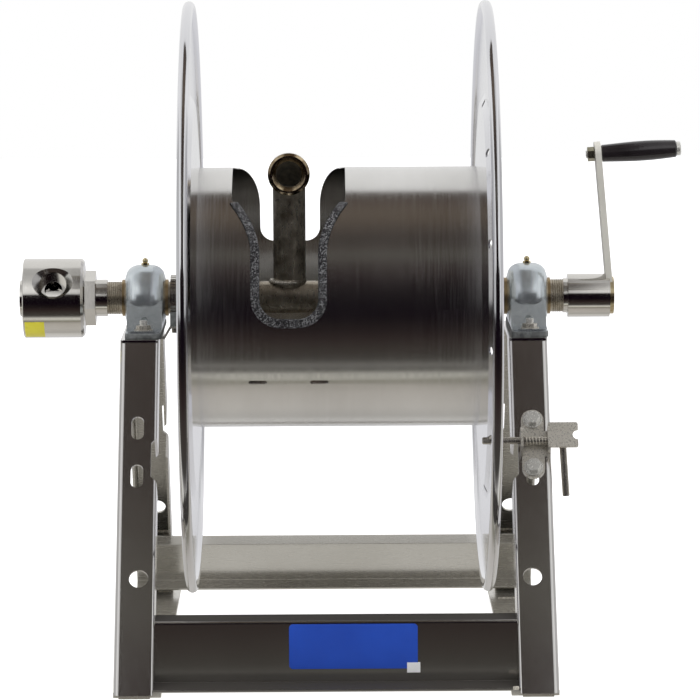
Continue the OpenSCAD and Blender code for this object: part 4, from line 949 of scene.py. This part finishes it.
def makeWeld(name, points, radius, body, finish="weldMetal"):
    # overlapping lens-shaped drops along a line, fused and smoothed like a laid bead
    deselectAll()
    bpy.ops.mesh.primitive_uv_sphere_add(segments=12, ring_count=8, radius=radius * mm)
    drop = bpy.context.object
    drops = []
    travelled = 0.0
    step = radius * mm * weldLook["ripple"]
    for start, end in zip(points, points[1:]):
        start, end = Vector(start), Vector(end)
        length = (end - start).length
        direction = (end - start) / length
        turn = direction.to_track_quat("X", "Z").to_matrix().to_4x4()
        while travelled < length:
            place = start + direction * travelled
            wobble = noise.noise(place * 700)
            size = 1 + 0.28 * wobble
            twin = copyOf(drop, name)
            lift = Vector((0, 0, 0.25 * radius * mm * noise.noise(place * 420 + Vector((7, 3, 1)))))
            twin.matrix_world = (Matrix.Translation(place + lift) @ turn
                                 @ Matrix.Diagonal((weldLook["flat"] * size, size, size * 0.9, 1)))
            drops.append(twin)
            travelled += step
        travelled -= length
    bpy.data.objects.remove(drop)
    piece = joinPieces(drops, name)
    settlePlace(piece)
    addModifier(piece, "REMESH", mode="VOXEL", voxel_size=weldLook["voxel"] * mm)
    addModifier(piece, "SMOOTH", factor=0.5, iterations=1)
    return finishPiece(piece, name, body,
                       finish, (), 0)


def ringPoints(centre, radius, count, lift=lambda turn: 0.0):
    turns = [2 * math.pi * i / count for i in range(count + 1)]
    return [Vector(centre) + Vector((radius * math.cos(t), radius * math.sin(t), lift(t))) for t in turns]


riserWeld = {"radius": 0.0172, "z": 0.3762, "bead": 1.9}
riserPlace, _ = placeOn("riserWeld", nodes["riser_pipe"], nodes["axle_pipe"])
makeWeld("riserWeld", ringPoints((riserPlace.x, 0, riserWeld["z"]), riserWeld["radius"], 28,
                                 lambda t: -0.0012 * math.sin(t) ** 2), riserWeld["bead"], "reel")

standWelds = {
    # point: (carriers, length in mm, bead radius in mm)
    "rearWeldLeft": (("rear_leg_left_soft", "rear_cross_member_soft"), 15, 1.9),
    "rearWeldRight": (("rear_leg_right_soft", "rear_cross_member_soft"), 15, 1.9),
    "lowWeldLeft": (("rear_leg_left_soft", "rear_cross_member_soft", "base_rail_left"), 15, 1.3),
    "lowWeldRight": (("rear_leg_right_soft", "rear_cross_member_soft", "base_rail_right"), 17, 1.1),
    "frontWeldRight": (("front_leg_right_soft", "front_cross_member_soft", "base_rail_right"), 5, 2.4),
}
for pointName, (carriers, length, bead) in standWelds.items():
    middle, _ = placeOn(pointName, *[bpy.data.objects[name] for name in carriers])
    half = Vector((0.5 * length * mm, 0, 0))
    makeWeld(pointName, [middle - half, middle + half], bead, "stand")
print("welds made:", 1 + len(standWelds))

# ---- image points, and how far each thing shows from its point


shownThings = {
    # point: (piece, part of it that the point names, limits of that part in x, y and z)
    "discTopLeft": ("disc_left", "top", None),
    "swivelLeftEnd": ("swivel_cap", "left", None),
    "gripEnd": ("handle_bolt", "right", None),
    "footBottomLeft": ("leg_shoes", "bottom", ((-1, 0), (-1, 0), (-1, 1))),
    "outletMouth": ("outlet_elbow", "middle", ((-1, 1), (-1, -0.037), (-1, 1))),
    "armTop": ("crank_arm_soft", "top", None),
    "pinTip": ("lock_pin", "left", None),
    "pullHandleLow": ("lock_pin", "bottom", None),
    "parkNotch": ("lock_bracket_soft", "right", None),
    "nippleLeft": ("grease_nipples", "middle", ((-1, 0), (-1, 1), (-1, 1))),
    "boltUpper": ("bracket_bolts_soft", "middle", ((-1, 1), (-1, 1), (0.222, 1))),
    "trimBottom": ("slotEdging", "bottom", None),
    "plateMiddle": ("blank_plate_soft", "middle", None),
    "swivelPort": ("swivel_body", "middle", ((-0.3085, -0.2670), (-0.0415, -0.030), (0.3560, 0.3985))),
    "riserWeld": ("riserWeld", "middle", None),
    "rearWeldLeft": ("rearWeldLeft", "middle", None),
    "rearWeldRight": ("rearWeldRight", "middle", None),
    "lowWeldLeft": ("lowWeldLeft", "middle", None),
    "lowWeldRight": ("lowWeldRight", "middle", None),
    "frontWeldRight": ("frontWeldRight", "middle", None),
}


def shownVertices(piece, limits, tree, most=6000):
    # image places of the vertices that the camera sees
    start = camera.matrix_world.translation
    places = [piece.matrix_world @ v.co for v in piece.data.vertices]
    if limits:
        places = [p for p in places if all(low <= p[i] <= high for i, (low, high) in enumerate(limits))]
    step = max(1, len(places) // most)
    shown = []
    for place in places[::step]:
        away = place - start
        hit = tree.ray_cast(start, away.normalized())[0]
        if hit is None or (hit - start).length > away.length - 0.4 * mm:
            shown.append(toImage(place))
    return shown


def pointMisses():
    # how far each thing shows from its point, in pixels; an edge counts along one axis
    hidden = set()
    for piece in bpy.data.objects:
        if piece.hide_render or piece.type != "MESH" or not piece.visible_camera:
            hidden.add(piece.name)
    tree = treeOf(*[o for o in bpy.data.objects if o.name not in hidden and o.name != "studioFloor"])
    misses = {}
    for pointName, (pieceName, part, limits) in shownThings.items():
        shown = shownVertices(bpy.data.objects[pieceName], limits, tree)
        if not shown:
            misses[pointName] = "hidden"
            continue
        xs, ys = [p[0] for p in shown], [p[1] for p in shown]
        x, y = (min(xs) + max(xs)) / 2, (min(ys) + max(ys)) / 2
        x = {"left": min(xs), "right": max(xs)}.get(part, x)
        y = {"top": min(ys), "bottom": max(ys)}.get(part, y)
        aimX, aimY = imagePoints[pointName]
        misses[pointName] = [None if part in ("top", "bottom") else round(x - aimX, 2),
                             None if part in ("left", "right") else round(y - aimY, 2)]
    return misses


def writeRecords():
    pointMisses()
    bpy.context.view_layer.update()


writeRecords()
